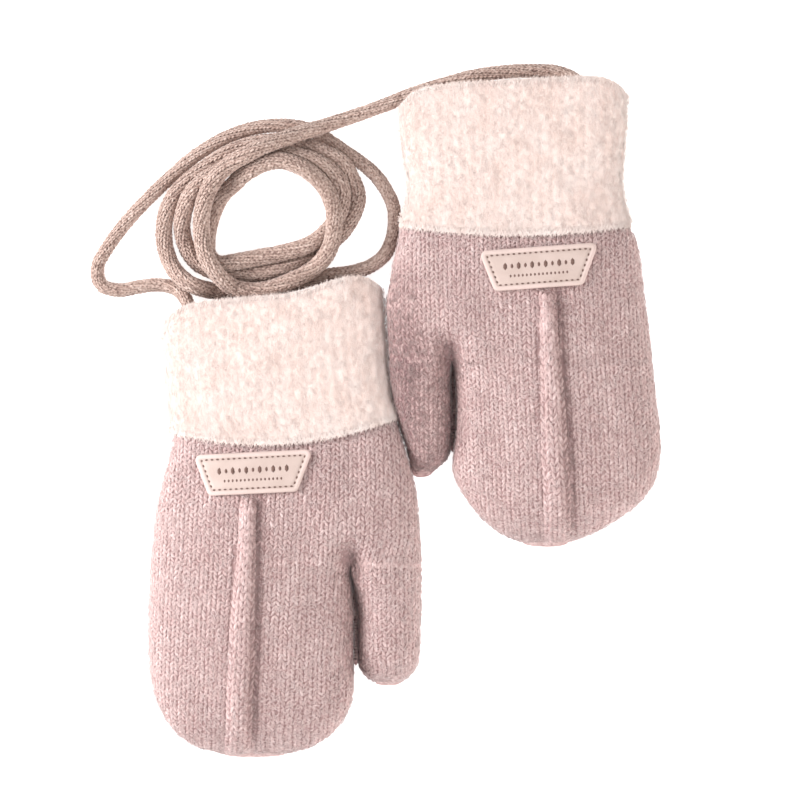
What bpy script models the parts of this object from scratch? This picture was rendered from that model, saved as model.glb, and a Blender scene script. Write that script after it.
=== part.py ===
"""A pair of knitted baby mittens on one neck cord, lying flat with the thumbs side by side.

Each mitten is made the way it is sewn: a ribbed cuff, a hand that is closed at the fingertips,
a thumb set into the hand, and a small patch on the back of the hand. The four are hollow walls
or plates of their own, a seam gap apart. One knitted cord is fastened inside both cuffs.

World frame: X to the right, Y from the fingertips to the cuffs, Z up, floor at Z = 0.
Mitten frame: "across" grows from the little-finger side to the thumb side, "along" grows from
the cuff's seam to the fingertips. Tables are in millimetres, everything else is in metres.
"""

import math
from collections import namedtuple

import bmesh
import bpy
from mathutils import Vector

# ---- Driving dimensions ----

MM = 0.001
WALL = 3.0 * MM
SEAM_GAP = 0.4 * MM

SQUARENESS = 2.4            # 2 is an ellipse, more is squarer in section
WAIST = 0.42                # height of the widest line, as a share of the section's height
BELLY = 1.25                # how far past the floor the underside would bulge, as a share
PEAK_FROM = 0.1                 # where a mouth's pulled-up side begins, as a share of its half width
PEAK_RUN = 0.75

CUFF_RIBS = 44
CUFF_RIB_RISE = 0.35 * MM
CUFF_BANDS = 6
CUFF_COLUMNS = 2 * CUFF_RIBS

SPINE_HALF_START = 2.3 * MM     # the raised knitted line down the back of the hand
SPINE_HALF_WIDTH = 3.8 * MM     # and where it is widest
SPINE_WIDENING = 22.0 * MM      # length over which it widens
SPINE_RISE = 2.2 * MM
SPINE_RUN_IN = 1.5 * MM
SPINE_ACROSS = -10.4 * MM
SPINE_DRIFT = -0.045            # across per along
SPINE_DRIFT_FROM = 20.0 * MM
SPINE_BELOW_PATCH = 0.3 * MM

CREASE_DEPTH = 6.5 * MM         # dip between hand and thumb, deepest at the crotch
CREASE_WIDTH = 4.0 * MM
CREASE_LENGTH = 11.0 * MM
CREASE_UNDER = 0.3              # share of the dip that the underside rises
SHOULDER = 5.0 * MM             # rounding beside the crotch
SHOULDER_RUN = 7.0 * MM
THUMB_CLEARANCE = 0.5 * MM
SADDLE = 1.2 * WALL             # wall left above the crotch

PATCH_TOP = 35.8 * MM
PATCH_BOTTOM = 26.4 * MM
PATCH_LENGTH = 12.4 * MM
PATCH_THICKNESS = 1.2 * MM
PATCH_CELLS = (12, 4)
PATCH_CORNER = 0.8 * MM

CORD_DIAMETER = 4.4 * MM
CORD_POINTS = 80
CORD_BEVEL_RESOLUTION = 3
CORD_REST = 0.05 * MM           # between the lying cord and the floor

# Points round a section: steps of each stretch.
STEPS_SPLIT_TO_SPINE = 4
STEPS_SPINE_TO_EDGE = 7
STEPS_UNDER_HAND = 8
STEPS_UNDER_THUMB = 5
STEPS_OVER_THUMB = 6
STEPS_SHOULDER = 3
SPINE_STOPS = (1.0, 0.8, 0.55, 0.25, 0.0, -0.25, -0.55, -0.8, -1.0)

ROWS_TO_SPINE = 5
ROWS_TO_CROTCH = 5
ROWS_FINGERS = 13
ROWS_THUMB = 9

# ---- Tables, millimetres ----

Row = namedtuple("Row", "along outer thumb_side height slant bow lip peak", defaults=(0.0,))
Tip = namedtuple("Tip", "along across")
Mitten = namedtuple("Mitten", "name side seat cuff hand fingers finger_tip thumb thumb_tip split patch")
Patch = namedtuple("Patch", "along across slant")

# outer and thumb_side are distances from the mitten's axis, negative past it; slant is the
# rise of a row per millimetre across; bow is how far its middle lies nearer the fingertips;
# lip is how far the lower edge of the mouth is set back; peak is how far the thumb side of the
# mouth is pulled up.
LEFT = Mitten(
    name="left",
    side=1,
    seat=(-35.8, -2.6),
    cuff=[
        #   along outer thumb height slant   bow  lip peak
        Row(-38.9, 35.5, 28.8, 13.0, -0.086, 0.0, 5.0, 4.3),
        Row(-29.0, 36.1, 29.6, 13.6, -0.084, 0.6, 1.5, 1.6),
        Row(-19.0, 35.8, 30.4, 14.3, -0.078, 2.0, 0.0),
        Row(-9.0, 34.6, 31.3, 15.2, -0.070, 3.8, 0.0),
        Row(0.0, 33.5, 33.2, 16.6, -0.0625, 5.5, 0.0),
    ],
    hand=[
        Row(0.0, 32.8, 33.4, 16.0, -0.0625, 5.5, 0.0),
        Row(8.9, 34.4, 36.1, 17.8, -0.045, 4.0, 0.0),
        Row(14.9, 35.9, 37.8, 19.0, -0.030, 2.8, 0.0),
        Row(20.9, 37.2, 39.3, 19.8, -0.018, 1.6, 0.0),
        Row(27.7, 38.4, 40.0, 20.3, -0.008, 0.6, 0.0),
        Row(34.3, 39.0, 40.5, 20.4, 0.0, 0.0, 0.0),
        Row(41.4, 39.7, 40.8, 20.2, 0.0, 0.0, 0.0),
    ],
    fingers=[
        Row(41.4, 39.7, 19.7, 20.2, 0.0, 0.0, 0.0),
        Row(47.7, 40.0, 20.1, 20.5, 0.0, 0.0, 0.0),
        Row(56.3, 40.4, 20.7, 20.6, 0.0, 0.0, 0.0),
        Row(65.0, 40.4, 20.7, 20.5, 0.0, 0.0, 0.0),
        Row(72.4, 40.0, 20.6, 20.2, 0.0, 0.0, 0.0),
        Row(79.0, 39.0, 20.6, 19.5, 0.0, 0.0, 0.0),
        Row(83.4, 37.5, 19.7, 18.5, 0.0, 0.0, 0.0),
        Row(87.9, 35.2, 17.6, 16.5, 0.0, 0.0, 0.0),
        Row(92.4, 31.6, 13.7, 13.0, 0.0, 0.0, 0.0),
        Row(96.0, 26.4, 7.9, 8.6, 0.0, 0.0, 0.0),
        Row(98.0, 18.5, 0.3, 4.6, 0.0, 0.0, 0.0),
    ],
    finger_tip=Tip(98.6, -8.5),
    thumb=[
        # here outer is the side beside the fingers, so it is negative
        Row(41.4, -20.2, 40.8, 15.5, 0.0, 0.0, 0.0),
        Row(46.2, -20.9, 40.8, 14.8, 0.0, 0.0, 0.0),
        Row(52.2, -21.5, 40.8, 14.4, 0.0, 0.0, 0.0),
        Row(59.6, -21.8, 40.6, 14.2, 0.0, 0.0, 0.0),
        Row(65.6, -21.8, 40.4, 13.6, 0.0, 0.0, 0.0),
        Row(70.0, -22.0, 40.1, 12.4, 0.0, 0.0, 0.0),
        Row(73.0, -22.9, 38.9, 10.6, 0.0, 0.0, 0.0),
        Row(75.1, -24.6, 37.0, 8.2, 0.0, 0.0, 0.0),
        Row(76.6, -27.0, 34.6, 5.0, 0.0, 0.0, 0.0),
    ],
    thumb_tip=Tip(77.2, 31.3),
    split=19.7,
    patch=Patch(along=14.2, across=-9.1, slant=-0.05),
)

RIGHT = Mitten(
    name="right",
    side=-1,
    seat=(32.1, 56.7),
    cuff=[
        Row(-43.4, 34.3, 33.4, 13.0, 0.056, 0.0, 6.0),
        Row(-30.0, 33.9, 33.2, 13.7, 0.045, 0.3, 1.5),
        Row(-20.0, 33.2, 32.1, 14.2, 0.030, 0.8, 0.0),
        Row(-11.0, 32.8, 30.9, 15.0, 0.015, 1.6, 0.0),
        Row(-5.0, 34.0, 32.0, 15.8, 0.006, 2.3, 0.0),
        Row(0.0, 34.8, 33.0, 16.6, 0.0, 2.8, 0.0),
    ],
    hand=[
        Row(0.0, 34.8, 33.4, 16.0, 0.0, 2.8, 0.0),
        Row(4.2, 37.0, 33.9, 17.0, 0.0, 2.6, 0.0),
        Row(8.6, 38.1, 34.9, 17.9, 0.0, 2.2, 0.0),
        Row(13.1, 38.7, 35.8, 18.8, 0.0, 1.8, 0.0),
        Row(17.6, 39.1, 36.4, 19.4, 0.0, 1.4, 0.0),
        Row(22.5, 39.6, 37.4, 19.9, 0.0, 1.0, 0.0),
        Row(31.0, 40.8, 37.1, 20.3, 0.0, 0.4, 0.0),
        Row(39.6, 41.7, 36.6, 20.2, 0.0, 0.0, 0.0),
    ],
    fingers=[
        Row(39.6, 41.7, 18.0, 20.2, 0.0, 0.0, 0.0),
        Row(45.9, 42.3, 17.1, 20.5, 0.0, 0.0, 0.0),
        Row(53.3, 43.1, 16.5, 20.6, 0.0, 0.0, 0.0),
        Row(60.8, 44.0, 16.7, 20.5, 0.0, 0.0, 0.0),
        Row(66.8, 44.2, 17.3, 20.2, 0.0, 0.0, 0.0),
        Row(71.2, 43.8, 17.6, 19.9, 0.0, 0.0, 0.0),
        Row(75.7, 42.7, 16.7, 19.2, 0.0, 0.0, 0.0),
        Row(80.2, 39.9, 14.3, 18.0, 0.0, 0.0, 0.0),
        Row(84.6, 35.5, 11.0, 15.6, 0.0, 0.0, 0.0),
        Row(89.1, 28.6, 6.6, 11.4, 0.0, 0.0, 0.0),
        Row(92.2, 22.6, 2.0, 7.8, 0.0, 0.0, 0.0),
        Row(94.2, 16.6, -3.6, 4.6, 0.0, 0.0, 0.0),
    ],
    finger_tip=Tip(95.0, -10.5),
    thumb=[
        Row(39.6, -18.5, 36.6, 15.5, 0.0, 0.0, 0.0),
        Row(45.0, -18.3, 36.1, 14.8, 0.0, 0.0, 0.0),
        Row(53.3, -17.7, 35.3, 14.4, 0.0, 0.0, 0.0),
        Row(57.8, -17.7, 34.1, 14.0, 0.0, 0.0, 0.0),
        Row(61.0, -17.8, 33.1, 13.6, 0.0, 0.0, 0.0),
        Row(65.2, -18.1, 31.7, 12.6, 0.0, 0.0, 0.0),
        Row(68.4, -19.0, 30.8, 11.0, 0.0, 0.0, 0.0),
        Row(71.0, -21.2, 30.3, 8.6, 0.0, 0.0, 0.0),
        Row(73.0, -23.8, 29.6, 5.4, 0.0, 0.0, 0.0),
    ],
    thumb_tip=Tip(74.2, 27.4),
    split=18.0,
    patch=Patch(along=12.5, across=-7.8, slant=0.074),
)

# The cord's own route, millimetres: out of the right cuff's mouth, along its upper edge, round
# the loose coil, round the long outer loop and into the left cuff's mouth.
CORD_ROUTE = [
    # inside the right cuff and along its edge
    (55.6, 87.0, 5.8), (55.6, 92.0, 5.8), (54.0, 96.8, 5.6), (50.5, 100.9, 3.4), (45.5, 102.9, 2.3),
    (38.5, 103.3, 2.3), (29.0, 102.9, 2.3),
    (19.5, 101.4, 2.3), (10.5, 98.9, 2.3), (3.0, 96.6, 2.3), (-5.0, 93.4, 2.3),
    # the uppermost turn
    (-24.5, 86.5, 5.9), (-32.0, 84.0, 10.2), (-46.5, 78.0, 16.2), (-52.5, 74.5, 15.0),
    (-57.0, 69.5, 14.9), (-59.5, 64.0, 13.0), (-60.5, 58.0, 8.9), (-58.5, 46.5, 12.3),
    (-55.0, 41.5, 11.2), (-51.0, 38.5, 8.2), (-45.5, 37.5, 7.6), (-32.5, 41.0, 7.9),
    (-26.5, 44.5, 7.0), (-22.5, 49.5, 9.2), (-21.0, 55.0, 11.7), (-21.0, 61.5, 11.0),
    (-23.0, 67.0, 11.3), (-31.5, 74.5, 14.1), (-36.5, 76.0, 14.0),
    # the innermost turn, half hidden under the uppermost, and the straight strand
    (-47.0, 72.5, 12.8), (-51.0, 69.0, 9.6), (-54.5, 65.9, 5.0), (-57.0, 61.2, 2.5),
    (-58.5, 56.0, 2.5), (-59.0, 51.5, 4.4), (-58.5, 48.0, 6.1), (-55.5, 45.5, 6.9),
    (-51.0, 46.0, 7.3), (-43.0, 47.5, 6.2), (-35.5, 49.0, 6.4), (-27.0, 52.0, 6.6),
    # the second turn
    (-22.0, 56.5, 6.3), (-19.0, 62.0, 5.7), (-18.5, 67.5, 6.9), (-21.0, 72.0, 9.0),
    (-25.5, 75.5, 10.0), (-31.5, 77.5, 9.7), (-46.0, 77.0, 9.1), (-53.0, 74.0, 9.6),
    (-58.5, 71.0, 10.0), (-63.0, 67.0, 10.1), (-65.5, 62.0, 7.9), (-65.5, 51.5, 2.3),
    (-62.5, 46.5, 2.3), (-57.5, 43.5, 2.3), (-49.0, 42.3, 4.3), (-34.0, 44.8, 3.8),
    # the third turn
    (-27.5, 48.0, 2.3), (-22.0, 52.0, 2.3), (-17.5, 56.5, 2.3), (-14.0, 66.5, 2.3),
    (-16.0, 71.5, 3.5), (-19.0, 76.0, 6.3), (-23.5, 78.5, 6.2), (-29.7, 81.0, 5.6),
    (-37.3, 82.1, 4.9), (-52.7, 78.5, 4.8), (-58.3, 74.9, 5.0), (-63.8, 70.8, 5.2),
    (-68.6, 65.9, 5.1), (-72.0, 54.5, 2.3), (-71.0, 48.5, 2.5), (-68.5, 43.5, 5.4),
    (-64.0, 39.5, 8.6), (-57.5, 37.5, 4.2), (-40.5, 38.0, 2.3), (-23.5, 42.0, 2.3),
    # the wide turn on the right
    (-16.0, 43.0, 2.3), (-11.0, 44.5, 2.3), (-6.5, 47.5, 2.3), (-3.0, 56.0, 2.3),
    (-3.0, 61.3, 2.3), (-7.4, 70.6, 2.3), (-18.2, 79.4, 2.3), (-30.5, 86.3, 2.3), (-38.0, 87.0, 2.3),
    # the long outer loop and the left cuff's mouth
    (-53.0, 83.5, 2.3), (-60.0, 79.6, 2.3), (-72.8, 68.8, 2.3), (-84.7, 56.1, 2.3),
    (-88.8, 50.4, 2.3), (-91.8, 44.2, 2.3), (-90.6, 39.2, 2.3), (-85.7, 37.7, 2.3),
    (-79.0, 38.8, 2.3), (-73.0, 39.3, 2.3), (-67.8, 37.8, 3.5), (-64.4, 33.2, 5.5),
    (-63.2, 28.6, 5.9), (-63.0, 24.5, 5.9),
]


# ---- Reading the tables ----

def eased_slopes(places, values):
    """Slopes at the rows that never swing past the values between them."""
    steps = [
        (values[i + 1] - values[i]) / (places[i + 1] - places[i])
        for i in range(len(places) - 1)
    ]
    slopes = [steps[0]]
    for before, after in zip(steps, steps[1:]):
        same_way = before * after > 0.0
        slopes.append(2.0 * before * after / (before + after) if same_way else 0.0)
    slopes.append(steps[-1])
    return slopes


def eased_value(places, values, place):
    """Value at a place between a table's rows, on a smooth curve through them."""
    slopes = eased_slopes(places, values)
    place = min(max(place, places[0]), places[-1])
    i = max(k for k in range(len(places) - 1) if places[k] <= place)
    span = places[i + 1] - places[i]
    t = (place - places[i]) / span
    from_value = (1.0 + 2.0 * t) * (1.0 - t) ** 2
    from_slope = t * (1.0 - t) ** 2 * span
    to_value = t * t * (3.0 - 2.0 * t)
    to_slope = t * t * (t - 1.0) * span
    return (
        from_value * values[i] + from_slope * slopes[i]
        + to_value * values[i + 1] + to_slope * slopes[i + 1]
    )


def section_at(rows, along):
    """The section at a distance along a table of rows, in metres."""
    places = [row.along * MM for row in rows]

    def column(name, unit):
        return eased_value(places, [getattr(row, name) * unit for row in rows], along)

    return Row(
        along=along,
        outer=column("outer", MM),
        thumb_side=column("thumb_side", MM),
        height=column("height", MM),
        slant=column("slant", 1.0),
        bow=column("bow", MM),
        lip=column("lip", MM),
        peak=column("peak", MM),
    )


def spread(start, end, steps):
    """Evenly spaced places from start to end, both included."""
    return [start + (end - start) * i / steps for i in range(steps + 1)]


def eased_to_edge(start, edge, steps):
    """Places from start to an edge that crowd together at the edge, start left out."""
    return [
        edge + (start - edge) * (1.0 - math.sin(0.5 * math.pi * i / steps))
        for i in range(1, steps + 1)
    ]


def smooth_step(t):
    t = min(max(t, 0.0), 1.0)
    return t * t * (3.0 - 2.0 * t)


# ---- One section of the wall ----

def middle_and_half(section):
    low = -section.outer
    high = section.thumb_side
    return 0.5 * (low + high), 0.5 * (high - low)


def spine_across(along):
    return SPINE_ACROSS + SPINE_DRIFT * max(0.0, along - SPINE_DRIFT_FROM)


def spine_start(mitten):
    """The spine rises just below the patch."""
    return mitten.patch.along * MM + 0.5 * PATCH_LENGTH + SPINE_BELOW_PATCH


def spine_half(mitten, along):
    """Half the spine's width, which grows from the patch to the fingertips."""
    share = (along - spine_start(mitten)) / SPINE_WIDENING
    return SPINE_HALF_START + (SPINE_HALF_WIDTH - SPINE_HALF_START) * smooth_step(share)


def spine_rise(mitten, along, across):
    """Height that the knitted spine adds to the back of the hand."""
    start = spine_start(mitten)
    offset = (across - spine_across(along)) / spine_half(mitten, along)
    if along <= start or abs(offset) >= 1.0:
        return 0.0
    profile = (1.0 - abs(offset) ** 2.4) ** 0.8
    return SPINE_RISE * smooth_step((along - start) / SPINE_RUN_IN) * profile


def crease(mitten, along, across):
    """Depth of the dip between hand and thumb, which fades up the hand from the crotch."""
    crotch = mitten.hand[-1].along * MM
    nearness = smooth_step(1.0 - (crotch - along) / CREASE_LENGTH)
    offset = (across - mitten.split * MM) / CREASE_WIDTH
    return CREASE_DEPTH * nearness * math.exp(-offset * offset)


def wall_point(section, across, upper, inset):
    """A point of the wall's outside, or of its inside where inset is the wall's thickness.

    Gives (across, along, height) in the mitten's own frame.
    """
    middle, half = middle_and_half(section)
    reach = min(max((across - middle) / half, -1.0), 1.0)
    inner_across = across
    if inset:
        gathering = min(1.0, half / inset - 1.1)
        inner_across -= inset * reach * abs(reach) ** gathering
    inner_reach = min(abs(inner_across - middle) / (half - inset), 1.0)
    fullness = (1.0 - inner_reach ** SQUARENESS) ** (1.0 / SQUARENESS)
    waist = WAIST * section.height
    if upper:
        height = waist + (section.height - inset - waist) * fullness
    else:
        height = max(inset, waist - (BELLY * waist - inset) * fullness)
    along = section.along + section.slant * inner_across + section.bow * (1.0 - reach * reach)
    along += section.lip * (abs(reach) ** 8 if upper else 1.0)
    along -= section.peak * smooth_step((reach - PEAK_FROM) / PEAK_RUN)
    return Vector((inner_across, along, height))


def hand_point(mitten, section, across, upper, inset):
    """wall_point with the crease beside the thumb and, outside, the spine."""
    point = wall_point(section, across, upper, inset)
    dip = crease(mitten, section.along, across)
    if upper:
        point.z -= dip
        if inset == 0.0:
            point.z += spine_rise(mitten, section.along, across)
    else:
        point.z += CREASE_UNDER * dip
    return point


def place(mitten, point):
    """A point of the mitten's own frame in the world."""
    across, along, height = point
    x = mitten.seat[0] * MM + mitten.side * across
    y = mitten.seat[1] * MM - along
    return Vector((x, y, height))


# ---- Stops round a section: (across, upper) pairs ----

def hand_stops(mitten, section, along, near_thumb):
    """From the crotch line over the back of the hand, round its outer edge, and back under."""
    edge = -section.outer
    spine = spine_across(along)
    half = spine_half(mitten, along)
    top = spread(near_thumb, spine + half, STEPS_SPLIT_TO_SPINE)[:-1]
    top += [spine + half * stop for stop in SPINE_STOPS]
    top += eased_to_edge(spine - half, edge, STEPS_SPINE_TO_EDGE)
    under = eased_to_edge(near_thumb, edge, STEPS_UNDER_HAND)[-2::-1] + [near_thumb]
    return [(across, True) for across in top] + [(across, False) for across in under]


def thumb_stops(section, near_hand):
    """From the crotch line under the thumb, round its outer edge, and back over it."""
    edge = section.thumb_side
    under = [near_hand] + eased_to_edge(near_hand, edge, STEPS_UNDER_THUMB)
    over = eased_to_edge(near_hand, edge, STEPS_OVER_THUMB)[-2::-1] + [near_hand]
    return [(across, False) for across in under] + [(across, True) for across in over]


def shoulder_stops(start, edge):
    """From the crotch line over a rounded side down to its underside, both ends left out."""
    over = eased_to_edge(start, edge, STEPS_SHOULDER)
    under = over[-2::-1]
    return [(across, True) for across in over] + [(across, False) for across in under]


def straight_column(top, bottom):
    """Points straight down from the top to the bottom of the crotch, both left out."""
    count = 2 * STEPS_SHOULDER
    return [top.lerp(bottom, i / count) for i in range(1, count)]


# ---- Mesh helpers ----

def add_loop(mesh, mitten, points):
    return [mesh.verts.new(place(mitten, point)) for point in points]


def band(mesh, first, second):
    """Quads between two closed loops with the same number of points."""
    count = len(first)
    for i in range(count):
        j = (i + 1) % count
        mesh.faces.new((first[i], first[j], second[j], second[i]))


def cap(mesh, mitten, loop, point):
    """Close a loop with a fan to one point."""
    tip = mesh.verts.new(place(mitten, point))
    for i in range(len(loop)):
        mesh.faces.new((loop[i], loop[(i + 1) % len(loop)], tip))


def finish_object(name, mesh, material, smooth_angle=40.0):
    bmesh.ops.recalc_face_normals(mesh, faces=mesh.faces)
    data = bpy.data.meshes.new(name)
    mesh.to_mesh(data)
    mesh.free()
    data.materials.append(material)
    data.shade_smooth()
    data.set_sharp_from_angle(angle=math.radians(smooth_angle))
    made = bpy.data.objects.new(name, data)
    bpy.context.scene.collection.objects.link(made)
    return made


def cloth_material(name, colour, roughness):
    material = bpy.data.materials.new(name)
    material.use_nodes = True
    shader = material.node_tree.nodes["Principled BSDF"]
    shader.inputs["Base Color"].default_value = (*colour, 1.0)
    shader.inputs["Roughness"].default_value = roughness
    shader.inputs["Metallic"].default_value = 0.0
    return material


# ---- Cuff ----

def even_ring(section, inset, count):
    """Points evenly spaced round a section, as (across, upper) pairs with their place."""
    middle, half = middle_and_half(section)
    fine = 720
    stops = []
    for i in range(fine + 1):
        angle = 2.0 * math.pi * i / fine
        stops.append(wall_point(section, middle + half * math.cos(angle), i <= fine // 2, inset))
    lengths = [0.0]
    for before, after in zip(stops, stops[1:]):
        lengths.append(lengths[-1] + math.hypot(after.x - before.x, after.z - before.z))
    ring = []
    k = 0
    for i in range(count):
        wanted = lengths[-1] * i / count
        while lengths[k + 1] < wanted:
            k += 1
        share = (wanted - lengths[k]) / max(lengths[k + 1] - lengths[k], 1e-9)
        ring.append(stops[k].lerp(stops[k + 1], share))
    return ring


def ribbed(ring):
    """A ring whose every other point is raised outward, but never below the floor."""
    raised = []
    for i, point in enumerate(ring):
        before = ring[i - 1]
        after = ring[(i + 1) % len(ring)]
        outward = Vector((after.z - before.z, 0.0, before.x - after.x)).normalized()
        rise = CUFF_RIB_RISE if i % 2 else 0.0
        moved = point + outward * rise
        moved.z = max(moved.z, 0.0)
        raised.append(moved)
    return raised


def make_cuff(mitten, material):
    mesh = bmesh.new()
    start = mitten.cuff[0].along * MM
    outside = []
    inside = []
    for along in spread(start, -0.5 * SEAM_GAP, CUFF_BANDS):
        section = section_at(mitten.cuff, along)
        outside.append(add_loop(mesh, mitten, ribbed(even_ring(section, 0.0, CUFF_COLUMNS))))
        inside.append(add_loop(mesh, mitten, even_ring(section, WALL, CUFF_COLUMNS)))
    for rings in (outside, inside):
        for first, second in zip(rings, rings[1:]):
            band(mesh, first, second)
    band(mesh, outside[0], inside[0])
    band(mesh, outside[-1], inside[-1])
    return finish_object(f"cuff_{mitten.name}", mesh, material, smooth_angle=60.0)


# ---- Hand ----

def upper_alongs(mitten):
    """Rows from the cuff's seam to the crotch, with one where the spine begins."""
    crotch = mitten.hand[-1].along * MM
    spine = spine_start(mitten)
    first = spread(0.5 * SEAM_GAP, spine, ROWS_TO_SPINE)
    return first + spread(spine, crotch, ROWS_TO_CROTCH)[1:]


def upper_rows(mitten, inset):
    """Rows of (hand points, thumb points) from the seam to the crotch."""
    crotch = mitten.hand[-1].along * MM
    split = mitten.split * MM
    rows = []
    for outside_along in upper_alongs(mitten):
        held_back = SADDLE * outside_along / crotch if inset else 0.0
        section = section_at(mitten.hand, outside_along - held_back)
        hand = [
            hand_point(mitten, section, across, upper, inset)
            for across, upper in hand_stops(mitten, section, section.along, split)
        ]
        thumb = [
            hand_point(mitten, section, across, upper, inset)
            for across, upper in thumb_stops(section, split)
        ]
        rows.append((hand, thumb[1:-1]))
    return rows


def finger_row(mitten, along, inset):
    """A closed loop round the fingers, from the crotch line's top round the outer edge."""
    crotch = mitten.fingers[0].along * MM
    section = section_at(mitten.fingers, along)
    shoulder = SHOULDER * (1.0 - math.exp((crotch - along - 0.5 * MM) / SHOULDER_RUN))
    near_thumb = section.thumb_side - shoulder
    stops = hand_stops(mitten, section, along, near_thumb)
    loop = []
    for across, upper in stops:
        point = wall_point(section, across, upper, inset)
        if upper and inset == 0.0:
            point.z += spine_rise(mitten, along, across)
        loop.append(point)
    side = [
        wall_point(section, across, upper, inset)
        for across, upper in shoulder_stops(near_thumb, section.thumb_side)
    ]
    return loop + side[::-1]


def finger_alongs(mitten, inset):
    """Rows past the crotch; they crowd together at the fingertips."""
    crotch = mitten.fingers[0].along * MM
    last = mitten.fingers[-1].along * MM - (1.15 * inset)
    first = crotch + (0.0 if inset else 2.5 * MM)
    return [
        first + (last - first) * (1.0 - (1.0 - i / (ROWS_FINGERS - 1)) ** 1.35)
        for i in range(ROWS_FINGERS)
    ]


def thumb_row(mitten, along, inset):
    """A closed loop round the thumb, from under the crotch line round its outer edge."""
    crotch = mitten.thumb[0].along * MM
    section = section_at(mitten.thumb, along)
    shoulder = SHOULDER * (1.0 - math.exp((crotch - along - 0.5 * MM) / SHOULDER_RUN))
    near_hand = -section.outer + min(shoulder, 0.35 * (section.outer + section.thumb_side))
    loop = [
        wall_point(section, across, upper, inset)
        for across, upper in thumb_stops(section, near_hand)
    ]
    side = [
        wall_point(section, across, upper, inset)
        for across, upper in shoulder_stops(near_hand, -section.outer)
    ]
    return loop + side


def thumb_root(mitten, inset):
    """The thumb's loop where it meets the hand, with the hand's own shape outside."""
    crotch = mitten.hand[-1].along * MM
    if inset:
        return thumb_row(mitten, crotch, inset)
    split = mitten.split * MM
    section = section_at(mitten.hand, crotch)
    loop = [
        hand_point(mitten, section, across, upper, 0.0)
        for across, upper in thumb_stops(section, split)
    ]
    return loop + straight_column(loop[-1], loop[0])


def make_hand(mitten, material):
    mesh = bmesh.new()
    crotch = mitten.hand[-1].along * MM
    surfaces = []
    for inset in (0.0, WALL):
        loops = []
        for hand, thumb in upper_rows(mitten, inset):
            loops.append((add_loop(mesh, mitten, hand), add_loop(mesh, mitten, thumb)))
        for (hand_a, thumb_a), (hand_b, thumb_b) in zip(loops, loops[1:]):
            band(mesh, hand_a + thumb_a, hand_b + thumb_b)
        hand_points, thumb_points = upper_rows(mitten, inset)[-1]
        column = add_loop(mesh, mitten, straight_column(hand_points[0], hand_points[-1]))
        hand_loop, thumb_loop = loops[-1]
        fingers = [hand_loop + column[::-1]]
        for along in finger_alongs(mitten, inset):
            fingers.append(add_loop(mesh, mitten, finger_row(mitten, along, inset)))
        for first, second in zip(fingers, fingers[1:]):
            band(mesh, first, second)
        tip_along = mitten.finger_tip.along * MM - inset
        tip_height = WAIST * section_at(mitten.fingers, tip_along).height + 0.35 * inset
        cap(mesh, mitten, fingers[-1], (mitten.finger_tip.across * MM, tip_along, tip_height))
        thumb_ring = [hand_loop[-1]] + thumb_loop + [hand_loop[0]] + column
        surfaces.append((loops[0][0] + loops[0][1], thumb_ring))
    (outer_seam, outer_thumb), (inner_seam, inner_thumb) = surfaces
    band(mesh, outer_seam, inner_seam)
    rim = add_loop(mesh, mitten, thumb_row(mitten, crotch, WALL))
    band(mesh, inner_thumb, rim)
    band(mesh, outer_thumb, rim)
    return finish_object(f"hand_{mitten.name}", mesh, material)


# ---- Thumb ----

def make_thumb(mitten, material):
    mesh = bmesh.new()
    crotch = mitten.thumb[0].along * MM
    start = crotch + SEAM_GAP
    rings = []
    for inset in (0.0, WALL):
        last = mitten.thumb[-1].along * MM - 1.15 * inset
        loops = []
        for i in range(ROWS_THUMB):
            along = start + (last - start) * (1.0 - (1.0 - i / (ROWS_THUMB - 1)) ** 1.3)
            loop = thumb_row(mitten, along, inset)
            if inset == 0.0:
                loop = eased_from_root(mitten, loop, along)
            loops.append(add_loop(mesh, mitten, loop))
        for first, second in zip(loops, loops[1:]):
            band(mesh, first, second)
        tip_along = mitten.thumb_tip.along * MM - inset
        tip_height = WAIST * section_at(mitten.thumb, tip_along).height + 0.35 * inset
        cap(mesh, mitten, loops[-1], (mitten.thumb_tip.across * MM, tip_along, tip_height))
        rings.append(loops[0])
    band(mesh, rings[0], rings[1])
    return finish_object(f"thumb_{mitten.name}", mesh, material)


def eased_from_root(mitten, loop, along):
    """Turn the hand's own shape at the crotch smoothly into the thumb's."""
    crotch = mitten.thumb[0].along * MM
    share = smooth_step((along - crotch) / (2.0 * SHOULDER_RUN))
    root = thumb_root(mitten, 0.0)
    eased = []
    for start, end in zip(root, loop):
        near_side = mitten.split * MM + THUMB_CLEARANCE
        across = max(start.x, near_side) * (1.0 - share) + end.x * share
        height = start.z * (1.0 - share) + end.z * share
        eased.append(Vector((across, along, height)))
    return eased


# ---- Patch ----

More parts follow.
